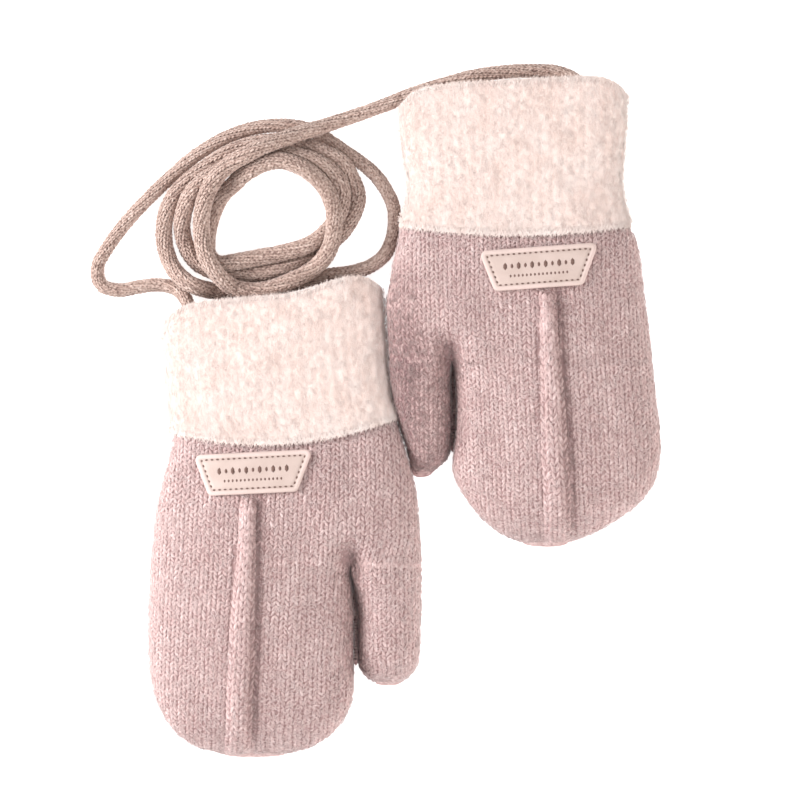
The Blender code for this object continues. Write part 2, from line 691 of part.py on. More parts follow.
def make_patch(mitten, material):
    """A trapezoid plate whose points are the hand's own, moved out."""
    mesh = bmesh.new()
    columns, rows = PATCH_CELLS
    levels = []
    for lift in (SEAM_GAP, SEAM_GAP + PATCH_THICKNESS):
        grid = []
        for r in range(rows + 1):
            down = r / rows
            width = PATCH_TOP + (PATCH_BOTTOM - PATCH_TOP) * down
            line = []
            for c in range(columns + 1):
                side = 2.0 * c / columns - 1.0
                off_axis = 0.5 * width * side
                end_row = abs(2.0 * down - 1.0) == 1.0
                if end_row and abs(side) == 1.0:
                    off_axis -= PATCH_CORNER * side
                across = mitten.patch.across * MM + off_axis
                along = mitten.patch.along * MM + PATCH_LENGTH * (down - 0.5)
                along += mitten.patch.slant * off_axis
                line.append(mesh.verts.new(place(mitten, back_of_hand(mitten, along, across, lift))))
            grid.append(line)
        levels.append(grid)
    for grid in levels:
        for upper, lower in zip(grid, grid[1:]):
            for c in range(columns):
                mesh.faces.new((upper[c], upper[c + 1], lower[c + 1], lower[c]))
    outlines = []
    for grid in levels:
        right = [line[-1] for line in grid[1:]]
        left = [line[0] for line in grid[-2:0:-1]]
        outlines.append(grid[0] + right + grid[-1][-2::-1] + left)
    band(mesh, outlines[0], outlines[1])
    return finish_object(f"patch_{mitten.name}", mesh, material, smooth_angle=30.0)


def back_of_hand(mitten, along, across, lift):
    """A point at a lift above the hand's outside, at a plan position."""
    section = section_at(mitten.hand, along)
    _, half = middle_and_half(section)
    for _ in range(4):
        reach = (across - middle_and_half(section)[0]) / half
        row_along = along - section.slant * across - section.bow * (1.0 - reach * reach)
        section = section_at(mitten.hand, row_along)
        half = middle_and_half(section)[1]
    point = hand_point(mitten, section, across, True, 0.0)
    return Vector((across, along, point.z + lift))


# ---- Cord ----

def smooth_route(points, pieces=16):
    """A smooth curve through the route's own points."""
    gaps = [(b - a).length for a, b in zip(points, points[1:])]
    ways = [(b - a) / gap for a, b, gap in zip(points, points[1:], gaps)]
    slopes = [ways[0]]
    for i in range(1, len(ways)):
        before, after = gaps[i - 1], gaps[i]
        slopes.append((ways[i - 1] * after + ways[i] * before) / (before + after))
    slopes.append(ways[-1])
    curve = []
    for i, gap in enumerate(gaps):
        for k in range(pieces):
            t = k / pieces
            curve.append(
                points[i] * ((1.0 + 2.0 * t) * (1.0 - t) ** 2)
                + slopes[i] * (gap * t * (1.0 - t) ** 2)
                + points[i + 1] * (t * t * (3.0 - 2.0 * t))
                + slopes[i + 1] * (gap * t * t * (t - 1.0))
            )
    return curve + [points[-1]]


def evenly_along(curve, count):
    """A number of points spaced evenly along a curve."""
    lengths = [0.0]
    for before, after in zip(curve, curve[1:]):
        lengths.append(lengths[-1] + (after - before).length)
    points = []
    k = 0
    for i in range(count):
        wanted = lengths[-1] * i / (count - 1)
        while k < len(curve) - 2 and lengths[k + 1] < wanted:
            k += 1
        share = (wanted - lengths[k]) / (lengths[k + 1] - lengths[k])
        points.append(curve[k].lerp(curve[k + 1], share))
    return points


def make_cord(material):
    route = [Vector(point) * MM for point in CORD_ROUTE]
    points = evenly_along(smooth_route(route), CORD_POINTS)
    for point in points:
        point.z = max(point.z, 0.5 * CORD_DIAMETER + CORD_REST)
    curve = bpy.data.curves.new("neck_cord", "CURVE")
    curve.dimensions = "3D"
    curve.bevel_depth = 0.5 * CORD_DIAMETER
    curve.bevel_resolution = CORD_BEVEL_RESOLUTION
    curve.use_fill_caps = True
    spline = curve.splines.new("POLY")
    spline.points.add(len(points) - 1)
    for spline_point, point in zip(spline.points, points):
        spline_point.co = (*point, 1.0)
    curve.materials.append(material)
    made = bpy.data.objects.new("neck_cord", curve)
    bpy.context.scene.collection.objects.link(made)
    return made


# ---- The whole pair ----

def main():
    for old in list(bpy.data.objects):
        bpy.data.objects.remove(old, do_unlink=True)
    knit = cloth_material("knit_dusty_pink", (0.60, 0.44, 0.42), 0.95)
    brushed = cloth_material("brushed_cream", (0.90, 0.82, 0.78), 0.97)
    leatherette = cloth_material("patch_pale_pink", (0.78, 0.62, 0.60), 0.55)
    cord = cloth_material("cord_rose_brown", (0.46, 0.33, 0.30), 0.95)
    for mitten in (LEFT, RIGHT):
        make_cuff(mitten, brushed)
        make_hand(mitten, knit)
        make_thumb(mitten, knit)
        make_patch(mitten, leatherette)
    make_cord(cord)


main()
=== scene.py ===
"""A pair of brushed-knit baby mittens on one neck cord, dressed stitch by stitch.

Every piece of cloth is a thin shell on its solid's own form. The yarn that shows is laid over
it: two legs for each knit stitch, tufts of fleece on the cuffs, and short loose fibres.

World frame: X to the right, Y from the fingertips to the cuffs, Z up, floor at Z = 0.
Mitten frame: "across" grows from the little-finger side to the thumb side, "along" grows from
the cuff's seam to the fingertips. Tables are in millimetres, everything else is in metres.
"""

import math
from collections import namedtuple

import bmesh
import bpy
import numpy as np
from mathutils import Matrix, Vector
from mathutils.bvhtree import BVHTree
from mathutils.kdtree import KDTree
from bpy.props import FloatProperty, FloatVectorProperty, IntProperty, PointerProperty

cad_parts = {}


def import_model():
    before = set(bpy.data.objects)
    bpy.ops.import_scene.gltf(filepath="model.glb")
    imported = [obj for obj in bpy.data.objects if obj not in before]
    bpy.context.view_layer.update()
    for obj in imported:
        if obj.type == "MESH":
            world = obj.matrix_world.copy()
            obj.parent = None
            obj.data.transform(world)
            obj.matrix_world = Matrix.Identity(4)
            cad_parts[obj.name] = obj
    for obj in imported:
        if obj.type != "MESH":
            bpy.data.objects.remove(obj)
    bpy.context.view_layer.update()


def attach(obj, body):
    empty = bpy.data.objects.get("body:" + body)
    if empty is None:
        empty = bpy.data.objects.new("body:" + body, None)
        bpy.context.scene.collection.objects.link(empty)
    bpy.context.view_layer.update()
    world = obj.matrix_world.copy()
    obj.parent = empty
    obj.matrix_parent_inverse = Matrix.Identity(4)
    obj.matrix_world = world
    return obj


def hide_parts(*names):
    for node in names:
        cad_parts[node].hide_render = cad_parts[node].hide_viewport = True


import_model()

bl_info = {
    "name": "Knitted Baby Mittens",
    "version": (1, 0, 0),
    "blender": (4, 5, 0),
    "location": "3D View > Sidebar > Mittens",
    "description": "Knits a pair of baby mittens with fleecy cuffs, patches and a neck cord",
    "category": "Add Mesh",
}

MM = 0.001
FLOOR_GAP = 0.02 * MM           # the lowest yarn lies this far above the floor

# ---- The mittens' own sizes ----

# They are those of the solids, apart from the spine's start and widening and the patch's corners.
WALL = 3.0 * MM
SEAM_GAP = 0.4 * MM
SQUARENESS = 2.4                # 2 is an ellipse, more is squarer in section
WAIST = 0.42                    # height of the widest line, as a share of the section's height
BELLY = 1.25                    # how far past the floor the underside would bulge, as a share
PEAK_FROM = 0.1                 # where a mouth's pulled-up side begins, as a share of its half width
PEAK_RUN = 0.75
LIP_POWER = 8                   # the more, the nearer its sides a mouth's upper edge turns
CUFF_RIBS = 44
LUMP_WAVES = 8
LUMP_RISE = 0.12 * MM
AIRINESS = 0.9                  # how far fleece is shaded as if it faced up
ROLL_RISE = 0.55 * MM           # the cuff's lower edge is fuller and stands over the hand
ROLL_LENGTH = 6.0 * MM
TOOTH_PITCH = 1.7 * MM          # of the brushed-out lower edge

SPINE_HALF_START = 2.3 * MM     # the raised knitted line down the back of the hand
SPINE_HALF_WIDTH = 3.8 * MM     # and where it is widest
SPINE_WIDENING = 50.0 * MM
SPINE_RISE = 2.2 * MM
SPINE_SHAPE = (2.4, 0.8)        # powers of its section, 2 and 0.5 for an ellipse
SPINE_RUN_IN = 1.0 * MM
SPINE_ACROSS = -10.4 * MM
SPINE_DRIFT = -0.045
SPINE_DRIFT_FROM = 20.0 * MM
SPINE_BELOW_PATCH = -0.3 * MM

CREASE_DEPTH = 6.5 * MM         # dip between hand and thumb, deepest at the crotch
CREASE_WIDTH = 4.0 * MM
CREASE_LENGTH = 11.0 * MM
CREASE_UNDER = 0.3
SHOULDER = 5.0 * MM
SHOULDER_RUN = 7.0 * MM
THUMB_SHOULDER = 0.35           # a thumb's shoulder takes at most this share of its width
THUMB_CLEARANCE = 0.5 * MM
SADDLE = 1.2 * WALL
CROTCH_STEP = 2.5 * MM          # the first ring of the fingers lies this far past the crotch

PATCH_TOP = 35.8 * MM
PATCH_BOTTOM = 26.4 * MM
PATCH_LENGTH = 12.4 * MM
PATCH_THICKNESS = 1.2 * MM
PATCH_CORNER = 1.6 * MM
PATCH_LOOP = 160                # points round the patch
RIM_BANDS = 5                   # bands of faces that the paler rim has
THREAD_LIFT = 1.06 * MM
THREAD_FINENESS = 12            # steps from one stitch of the sewing to the next
THREAD_PICKS = np.array([0, 2, 5, 7])       # and those that the thread is seen at
MARK_LIFT = 0.07 * MM           # half the height of a pressed mark
# Insets and lifts of the patch's loops: rounded rim, pressed sewing line, flat face.
PATCH_PROFILE = (
    (0.0, 0.55), (0.12, 0.95), (0.35, 1.15), (0.8, 1.22), (1.25, 1.18), (1.5, 1.02), (1.7, 0.96),
    (1.9, 1.02), (2.15, 1.16), (2.8, 1.2), (4.0, 1.2), (5.2, 1.2),
)
# Rows of pressed marks: how many, how far apart, how far down, and the (length, half width) that
# the marks have in turn.
ORNAMENT = (
    (11, 2.0, -0.95, ((2.3, 0.62), (1.5, 0.42))),
    (15, 1.2, 2.0, ((0.95, 0.30),)),
)

CORD_DIAMETER = 4.4 * MM
CORD_REST = 0.05 * MM
CORD_POINTS = 640
CORD_TURNS = 9                  # times that its wales wind round it
CORD_YARN = 0.45 * MM           # how thick the yarn over its core is
CORD_LEG = (0.40 * MM, 0.36 * MM)       # half its width and half its height
CORE_SINK = 0.1 * MM            # the core lies this far under the yarn's own skin
CORE_SIDES = 10
CORE_STEP = 1.6 * MM
# How much the cord's radius grows where it lies slack in the coil, along its length.
CORD_SWELL = (
    (0.0, 0.05 * MM), (0.10, 0.05 * MM), (0.15, 0.5 * MM), (0.72, 0.5 * MM), (0.78, 0.05 * MM),
    (1.0, 0.0),
)

Relief = namedtuple("Relief", "spine crease troughs")
FULL = Relief(spine=1.0, crease=1.0, troughs=1.0)
PLAIN = Relief(spine=0.0, crease=0.5, troughs=0.0)      # the form that wales are counted on

# A section across the cloth. Slant and bow bend its row along the mitten. At a cuff's mouth, lip is
# how much shorter the underside is, and peak is how far the thumb's side is pulled out.
Row = namedtuple("Row", "along outer thumb_side height slant bow lip peak", defaults=4 * (0.0,))
Tip = namedtuple("Tip", "along across")
Patch = namedtuple("Patch", "along across slant")
Mitten = namedtuple(
    "Mitten",
    "name side seat cuff hand fingers finger_tip thumb thumb_tip split patch troughs gap_end dull",
)
# A soft trough in the cloth: where its middle is, the turn of its length away from the wales in
# degrees, its half length and half width, and its depth. A negative depth is a soft ridge.
Trough = namedtuple("Trough", "along across turn length width depth")

LEFT = Mitten(
    name="left",
    side=1,
    seat=(-35.8, -2.6),
    cuff=[
        #   along outer thumb height slant   bow  lip peak
        Row(-38.9, 35.5, 28.8, 13.0, -0.086, 0.0, 5.0, 4.3),
        Row(-29.0, 36.1, 29.6, 13.6, -0.084, 0.6, 1.5, 1.6),
        Row(-19.0, 35.8, 30.4, 14.3, -0.078, 2.0),
        Row(-9.0, 34.6, 31.3, 15.2, -0.070, 3.8),
        Row(0.0, 33.5, 33.2, 16.6, -0.0625, 5.5),
    ],
    hand=[
        Row(0.0, 32.8, 33.4, 16.0, -0.0625, 5.5),
        Row(8.9, 34.4, 36.1, 17.8, -0.045, 4.0),
        Row(14.9, 35.9, 37.8, 19.0, -0.030, 2.8),
        Row(20.9, 37.2, 39.3, 19.8, -0.018, 1.6),
        Row(27.7, 38.4, 40.0, 20.3, -0.008, 0.6),
        Row(34.3, 39.0, 40.5, 20.4),
        Row(41.4, 39.7, 40.8, 20.2),
    ],
    fingers=[
        Row(41.4, 39.7, 19.7, 20.2),
        Row(47.7, 40.0, 20.1, 20.5),
        Row(56.3, 40.4, 20.7, 20.6),
        Row(65.0, 40.4, 20.7, 20.5),
        Row(72.4, 40.0, 20.6, 20.2),
        Row(79.0, 39.0, 20.6, 19.5),
        Row(83.4, 37.5, 19.7, 18.5),
        Row(87.9, 35.2, 17.6, 16.5),
        Row(92.4, 31.6, 13.7, 13.0),
        Row(96.0, 26.4, 7.9, 8.6),
        Row(98.0, 18.5, 0.3, 4.6),
    ],
    finger_tip=Tip(98.6, -8.5),
    thumb=[
        # here outer is the side beside the fingers, so it is negative
        Row(41.4, -20.2, 40.8, 15.5),
        Row(46.2, -20.9, 40.8, 14.8),
        Row(52.2, -21.5, 40.8, 14.4),
        Row(59.6, -21.8, 40.6, 14.2),
        Row(65.6, -21.8, 40.4, 13.6),
        Row(70.0, -22.0, 40.1, 12.4),
        Row(73.0, -22.9, 38.9, 10.6),
        Row(75.1, -24.6, 37.0, 8.2),
        Row(76.6, -27.0, 34.6, 5.0),
    ],
    thumb_tip=Tip(77.2, 31.3),
    split=19.7,
    gap_end=71.0,                # the yarn in the gap between hand and thumb, and the shade painted along it, end here
    dull=0.0,                    # how strongly the other mitten's shadow is painted on the thumb and the edge beside it
    patch=Patch(along=14.2, across=-9.1, slant=-0.05),
    troughs=[
        Trough(9.0, 20.0, 12, 9.0, 4.0, 0.7),
        Trough(22.0, -27.0, -8, 14.0, 4.5, 0.6),
        Trough(30.0, 5.0, 6, 16.0, 5.0, 0.6),
        Trough(58.0, -28.0, 4, 22.0, 6.0, 0.5),
        Trough(64.0, 8.0, -5, 19.0, 5.5, 0.7),
        Trough(37.0, 27.0, -20, 9.0, 4.0, 0.6),
        Trough(84.0, -22.0, 25, 9.0, 5.0, 0.5),
        Trough(82.0, 6.0, -28, 10.0, 4.0, 0.5),
    ],
)

RIGHT = Mitten(
    name="right",
    side=-1,
    seat=(32.1, 56.7),
    cuff=[
        Row(-43.4, 34.3, 33.4, 13.0, 0.056, 0.0, 6.0),
        Row(-30.0, 33.9, 33.2, 13.7, 0.045, 0.3, 1.5),
        Row(-20.0, 33.2, 32.1, 14.2, 0.030, 0.8),
        Row(-11.0, 32.8, 30.9, 15.0, 0.015, 1.6),
        Row(-5.0, 34.0, 32.0, 15.8, 0.006, 2.3),
        Row(0.0, 34.8, 33.0, 16.6, 0.0, 2.8),
    ],
    hand=[
        Row(0.0, 34.8, 33.4, 16.0, 0.0, 2.8),
        Row(4.2, 37.0, 33.9, 17.0, 0.0, 2.6),
        Row(8.6, 38.1, 34.9, 17.9, 0.0, 2.2),
        Row(13.1, 38.7, 35.8, 18.8, 0.0, 1.8),
        Row(17.6, 39.1, 36.4, 19.4, 0.0, 1.4),
        Row(22.5, 39.6, 37.4, 19.9, 0.0, 1.0),
        Row(31.0, 40.8, 37.1, 20.3, 0.0, 0.4),
        Row(39.6, 41.7, 36.6, 20.2),
    ],
    fingers=[
        Row(39.6, 41.7, 18.0, 20.2),
        Row(45.9, 42.3, 17.1, 20.5),
        Row(53.3, 43.1, 16.5, 20.6),
        Row(60.8, 44.0, 16.7, 20.5),
        Row(66.8, 44.2, 17.3, 20.2),
        Row(71.2, 43.8, 17.6, 19.9),
        Row(75.7, 42.7, 16.7, 19.2),
        Row(80.2, 39.9, 14.3, 18.0),
        Row(84.6, 35.5, 11.0, 15.6),
        Row(89.1, 28.6, 6.6, 11.4),
        Row(92.2, 22.6, 2.0, 7.8),
        Row(94.2, 16.6, -3.6, 4.6),
    ],
    finger_tip=Tip(95.0, -10.5),
    thumb=[
        Row(39.6, -18.5, 36.6, 15.5),
        Row(45.0, -18.3, 36.1, 14.8),
        Row(53.3, -17.7, 35.3, 14.4),
        Row(57.8, -17.7, 34.1, 14.0),
        Row(61.0, -17.8, 33.1, 13.6),
        Row(65.2, -18.1, 31.7, 12.6),
        Row(68.4, -19.0, 30.8, 11.0),
        Row(71.0, -21.2, 30.3, 8.6),
        Row(73.0, -23.8, 29.6, 5.4),
    ],
    thumb_tip=Tip(74.2, 27.4),
    split=18.0,
    gap_end=66.5,
    # the left mitten's shadow, painted on this thumb and on the edge beside the left cuff
    dull=0.5,
    patch=Patch(along=12.5, across=-7.8, slant=0.074),
    troughs=[
        Trough(10.0, 21.0, -10, 8.0, 4.0, 0.6),
        Trough(24.0, -29.0, 7, 13.0, 5.0, 0.6),
        Trough(31.0, 6.0, -5, 15.0, 4.5, 0.5),
        Trough(55.0, -29.0, -4, 20.0, 6.0, 0.6),
        Trough(60.0, 5.0, 6, 18.0, 5.0, 0.6),
        Trough(34.0, 25.0, 18, 9.0, 4.0, 0.6),
        Trough(80.0, -25.0, 22, 9.0, 5.0, 0.5),
        Trough(79.0, 3.0, -24, 9.0, 4.0, 0.5),
    ],
)

# The cord's own route, millimetres: out of the right cuff's mouth, along its upper edge, round
# the loose coil, round the long outer loop and into the left cuff's mouth.
CORD_ROUTE = [
    # inside the right cuff and along its edge
    (55.6, 87.0, 5.8), (55.6, 92.0, 5.8), (54.0, 96.8, 5.6), (50.5, 100.9, 3.4), (45.5, 102.9, 2.3),
    (38.5, 103.3, 2.3), (29.0, 102.9, 2.3),
    (19.5, 101.4, 2.3), (10.5, 98.9, 2.3), (3.0, 96.6, 2.3), (-5.0, 93.4, 2.3),
    # the uppermost turn
    (-24.5, 86.5, 5.9), (-32.0, 84.0, 10.2), (-46.5, 78.0, 16.2), (-52.5, 74.5, 15.0),
    (-57.0, 69.5, 14.9), (-59.5, 64.0, 13.0), (-60.5, 58.0, 8.9), (-58.5, 46.5, 12.3),
    (-55.0, 41.5, 11.2), (-51.0, 38.5, 8.2), (-45.5, 37.5, 7.6), (-32.5, 41.0, 7.9),
    (-26.5, 44.5, 7.0), (-22.5, 49.5, 9.2), (-21.0, 55.0, 11.7), (-21.0, 61.5, 11.0),
    (-23.0, 67.0, 11.3), (-31.5, 74.5, 14.1), (-36.5, 76.0, 14.0),
    # the innermost turn, half hidden under the uppermost, and the straight strand
    (-47.0, 72.5, 12.8), (-51.0, 69.0, 9.6), (-54.5, 65.9, 5.0), (-57.0, 61.2, 2.5),
    (-58.5, 56.0, 2.5), (-59.0, 51.5, 4.4), (-58.5, 48.0, 6.1), (-55.5, 45.5, 6.9),
    (-51.0, 46.0, 7.3), (-43.0, 47.5, 6.2), (-35.5, 49.0, 6.4), (-27.0, 52.0, 6.6),
    # the second turn
    (-22.0, 56.5, 6.3), (-19.0, 62.0, 5.7), (-18.5, 67.5, 6.9), (-21.0, 72.0, 9.0),
    (-25.5, 75.5, 10.0), (-31.5, 77.5, 9.7), (-46.0, 77.0, 9.1), (-53.0, 74.0, 9.6),
    (-58.5, 71.0, 10.0), (-63.0, 67.0, 10.1), (-65.5, 62.0, 7.9), (-65.5, 51.5, 2.3),
    (-62.5, 46.5, 2.3), (-57.5, 43.5, 2.3), (-49.0, 42.3, 4.3), (-34.0, 44.8, 3.8),
    # the third turn
    (-27.5, 48.0, 2.3), (-22.0, 52.0, 2.3), (-17.5, 56.5, 2.3), (-14.0, 66.5, 2.3),
    (-16.0, 71.5, 3.5), (-19.0, 76.0, 6.3), (-23.5, 78.5, 6.2), (-29.7, 81.0, 5.6),
    (-37.3, 82.1, 4.9), (-52.7, 78.5, 4.8), (-58.3, 74.9, 5.0), (-63.8, 70.8, 5.2),
    (-68.6, 65.9, 5.1), (-72.0, 54.5, 2.3), (-71.0, 48.5, 2.5), (-68.5, 43.5, 5.4),
    (-64.0, 39.5, 8.6), (-57.5, 37.5, 4.2), (-40.5, 38.0, 2.3), (-23.5, 42.0, 2.3),
    # the wide turn on the right
    (-16.0, 43.0, 2.3), (-11.0, 44.5, 2.3), (-6.5, 47.5, 2.3), (-3.0, 56.0, 2.3),
    (-3.0, 61.3, 2.3), (-7.4, 70.6, 2.3), (-18.2, 79.4, 2.3), (-30.5, 86.3, 2.3), (-38.0, 87.0, 2.3),
    # the long outer loop and the left cuff's mouth
    (-53.0, 83.5, 2.3), (-60.0, 79.6, 2.3), (-72.8, 68.8, 2.3), (-84.7, 56.1, 2.3),
    (-88.8, 50.4, 2.3), (-91.8, 44.2, 2.3), (-90.6, 39.2, 2.3), (-85.7, 37.7, 2.3),
    (-79.0, 38.8, 2.3), (-73.0, 39.3, 2.3), (-67.8, 37.8, 3.5), (-64.4, 33.2, 5.5),
    (-63.2, 28.6, 5.9), (-63.0, 24.5, 5.9),
]

# ---- How the cloth is laid on those sizes ----

# Steps of each stretch round a section, and rows along a shell, before they are made finer.
STEPS_SPLIT_TO_SPINE = 4
STEPS_OVER_SPINE = 6
STEPS_SPINE_TO_EDGE = 7
STEPS_UNDER_HAND = 8
STEPS_UNDER_THUMB = 5
STEPS_OVER_THUMB = 6
STEPS_SHOULDER = 3
ROWS_PALM = 9
ROWS_FINGERS = 13
ROWS_THUMB = 9
ROWS_CUFF = 24

SINK = 0.35 * MM                # the shell lies this far inside the solid, under the yarn
SHELL_FINENESS = 2              # steps of a shell's ring for each step of its solid
SKIN_FINENESS = 8
PALM_RINGS = 60
FINGER_RINGS = 110
THUMB_RINGS = 70
FINGER_CROWDING = 1.35          # above 1, rings crowd together toward the tip
THUMB_CROWDING = 1.3
TIP_ROOM = 1.15                 # a wall's last ring stays this many insets short of the tip's
TIP_LIFT = 0.35                 # and its tip is this many insets over the waist
SKIN_STEP = 0.6 * MM            # spacing of the grid that yarn is placed on
HAND_SKIN_START = 0.3 * MM
CUFF_SKIN_END = -0.1 * MM
COURSE_LINES = 14.0 * MM        # courses are counted in the middle and this far to both sides
CUFF_RINGS = 60
CUFF_POINTS = 480
CUFF_SCAN = 720                 # points that the way round a cuff is measured with
STREWN_SHORT = 1.0 * MM         # fibres keep this far from a piece's last edge
EDGE_OVERLAP = 3.6 * MM         # yarn may reach this far back over a piece's first edge
YARN_SOFTNESS = 0.35            # how far yarn is shaded as part of the cloth it lies in
FLUFF_SOFTNESS = 0.85
DARN_STEP = 0.9 * MM            # spacing of the places looked at for a bare spot
DARN_REACH = 0.75 * MM          # a place this far from any yarn is bare
SEAM_STEP = 0.8 * MM            # spacing of the legs that cross the thumb's seam
SEAM_CLEAR = 1.2 * MM           # the seam beside the fingers, this far from the split, has none
TIP_STEP = 1.1 * MM             # and of those that round off a tip
# How far those lie inside a tip's outline, in millimetres, and how high, as a share of the waist.
# Above 1 they lie on the upper side, and 9 is more than it ever rises.
TIP_ROWS = (
    (0.0, 0.30), (0.0, 0.62), (0.0, 0.95), (0.3, 1.25), (0.7, 1.6), (1.2, 9.0), (1.8, 9.0),
    (2.4, 9.0),
)
DARN_LIFT = 0.22 * MM
DARN_GAP = 0.45 * MM            # looks this far to both sides, so that it doesn't fall into a seam
DARN_SLOPE = 0.25               # and it faces up at least this much
EDGE_SLOPE = 0.6                # a place that faces up less than this is at an edge
GAP_YARN = 0.85 * MM            # half the width of the yarn between hand and thumb
GAP_LEG = 3.4 * MM              # its length
GAP_STEP = 0.9 * MM             # how far apart it starts
GAP_ROWS = (4.6 * MM, 6.4 * MM, 7.6 * MM)       # how high it lies
GAP_TONE = 0.9
# Shade painted into the yarn's tone: beside the thumb's groove, beside the spine, and the other mitten's
# shadow.
GROOVE_SHADE = 3.0 * MM         # how far shade is painted on the yarn beside the groove
GROOVE_RUN = 7.0 * MM
GROOVE_DARK = 0.95
SPINE_SHADE = 1.1 * MM          # and beside the spine
SPINE_DARK = 0.9                # how much darker that painted shade is there on the shaded side
SPINE_DARK_LIT = 0.3            # and on the lit one
SPINE_FLANK = 0.5               # how much darker the spine's shaded side is painted
SPINE_FADE = 9.0 * MM           # the shade painted beside the spine fades out this close to the tip
SHADE_RUN = 16.0 * MM            # a thumb's painted shadow begins this far before its root
SHADE_EDGE = 23.0 * MM           # the painted shadow on the edge beside it begins this far across
SHADE_EDGE_WIDTH = 13.0 * MM
SHADE_EDGE_START = 6.0 * MM
SHADE_EDGE_DARK = 1.5            # and is painted this many times as dark as on the thumb
LONGEST_LEG = 2.4               # a leg stretched more than this by a fold in the skin is left out
HIDDEN_SHARE = 0.35             # share of the tufts and fibres that the resting side keeps
RESTING_SLOPE = -0.6            # a normal that points down more than this rests on the floor
ANY_SLOPE = 2.0                 # more than a normal can rise, so no slope is left out
# Fleece brushed out past a cuff's lower edge and mouth: edge, how many to a millimetre, reach.
FRINGES = ((1, 12.0, 1.3 * MM), (-1, 10.0, 0.9 * MM))
# A cuff's loose fibres: how many to a square millimetre, length, radius, base, lift, and the
# steepest rise of the normal where they grow.
CUFF_FIBRES = (
    (0.8, 2.0 * MM, 0.05 * MM, 0.25 * MM, 0.75 * MM, ANY_SLOPE),
    (2.8, 1.6 * MM, 0.08 * MM, 0.15 * MM, 0.80 * MM, 0.5),
)

# Seeds of the random draws; a pair's second piece takes the next one.
CORD_SEED, HAND_SEED, CUFF_SEED, PATCH_SEED = 11, 100, 200, 300

VIEW_MIDDLE = (-1.28 * MM, 4.84 * MM)
VIEW_LEVEL = 10.0 * MM          # the height where the frame is view_width wide
FLOOR_HALF = 2.0


# ---- Reading the tables ----

def eased_slopes(places, values):
    """Slopes at the rows that never swing past the values between them."""
    steps = [
        (values[i + 1] - values[i]) / (places[i + 1] - places[i])
        for i in range(len(places) - 1)
    ]
    slopes = [steps[0]]
    for before, after in zip(steps, steps[1:]):
        same_way = before * after > 0.0
        slopes.append(2.0 * before * after / (before + after) if same_way else 0.0)
    slopes.append(steps[-1])
    return slopes


def curve_between(values, slopes, i, t, span):
    """A share t of the way from value i to the next, on a curve with the given slopes."""
    return (
        (1.0 + 2.0 * t) * (1.0 - t) ** 2 * values[i]
        + t * (1.0 - t) ** 2 * span * slopes[i]
        + t * t * (3.0 - 2.0 * t) * values[i + 1]
        + t * t * (t - 1.0) * span * slopes[i + 1]
    )


def eased_value(places, values, place):
    """Value at a place between a table's rows, on a smooth curve through them."""
    slopes = eased_slopes(places, values)
    place = min(max(place, places[0]), places[-1])
    i = max(k for k in range(len(places) - 1) if places[k] <= place)
    span = places[i + 1] - places[i]
    return curve_between(values, slopes, i, (place - places[i]) / span, span)


def section_at(rows, along):
    """The section at a distance along a table of rows, in metres."""
    places = [row.along * MM for row in rows]
    columns = {}
    for name in Row._fields[1:]:
        scale = 1.0 if name == "slant" else MM
        columns[name] = eased_value(places, [getattr(row, name) * scale for row in rows], along)
    return Row(along=along, **columns)


def crotch_of(mitten):
    """How far along the thumb parts from the fingers."""
    return mitten.hand[-1].along * MM


def span_of(section):
    """The section's middle across, and half its width."""
    return 0.5 * (section.thumb_side - section.outer), 0.5 * (section.thumb_side + section.outer)


# ---- Small helpers ----

def smooth_step(t):
    t = np.clip(t, 0.0, 1.0)
    return t * t * (3.0 - 2.0 * t)


def blend(first, second, share):
    return first * (1.0 - share) + second * share


def unit(vectors):
    """The same directions at length one."""
    return vectors / np.maximum(np.linalg.norm(vectors, axis=-1, keepdims=True), 1e-12)


def upright(points):
    """Straight up, for each of the points."""
    return np.zeros_like(points) + (0.0, 0.0, 1.0)


def run_lengths(points):
    """How far along a line each of its points is."""
    steps = np.linalg.norm(np.diff(points, axis=0), axis=1)
    return np.concatenate([[0.0], np.cumsum(steps)])


def read_along(points, lengths, wanted):
    """The line's points at the wanted lengths."""
    columns = range(points.shape[1])
    return np.stack([np.interp(wanted, lengths, points[:, k]) for k in columns], axis=-1)


def placed(name, data):
    """A new object of the data in the scene."""
    made = bpy.data.objects.new(name, data)
    bpy.context.scene.collection.objects.link(made)
    return made


def eased_to_edge(start, edge, steps):
    """Places from start to an edge that crowd together at the edge, start left out."""
    share = np.arange(1, steps + 1) / steps
    return edge + (start - edge) * (1.0 - np.sin(0.5 * math.pi * share))


# ---- The form of the cloth ----

def wall_points(section, across, upper, inset):
    """Points (across, along, height) of the cloth's outside, or of its inside at an inset."""
    middle, half = span_of(section)
    reach = np.clip((across - middle) / half, -1.0, 1.0)
    inner = across
    if inset:
        gathering = min(1.0, half / inset - 1.1)
        inner = across - inset * reach * np.abs(reach) ** gathering
    inner_reach = np.minimum(np.abs(inner - middle) / (half - inset), 1.0)
    fullness = (1.0 - inner_reach ** SQUARENESS) ** (1.0 / SQUARENESS)
    waist = WAIST * section.height
    over = waist + (section.height - inset - waist) * fullness
    under = np.maximum(inset, waist - (BELLY * waist - inset) * fullness)
    along = section.along + section.slant * inner + section.bow * (1.0 - reach * reach)
    along = along + section.lip * np.where(upper, np.abs(reach) ** LIP_POWER, 1.0)
    along = along - section.peak * smooth_step((reach - PEAK_FROM) / PEAK_RUN)
    return np.stack([inner, along, np.where(upper, over, under)], axis=1)


def spine_across(along):
    return SPINE_ACROSS + SPINE_DRIFT * max(0.0, along - SPINE_DRIFT_FROM)


def spine_start(mitten):
    """The spine rises just below the patch."""
    return mitten.patch.along * MM + 0.5 * PATCH_LENGTH + SPINE_BELOW_PATCH


def spine_half(mitten, along):
    """Half the spine's width, which grows from the patch to the fingertips."""
    share = (along - spine_start(mitten)) / SPINE_WIDENING
    return SPINE_HALF_START + (SPINE_HALF_WIDTH - SPINE_HALF_START) * float(smooth_step(share))


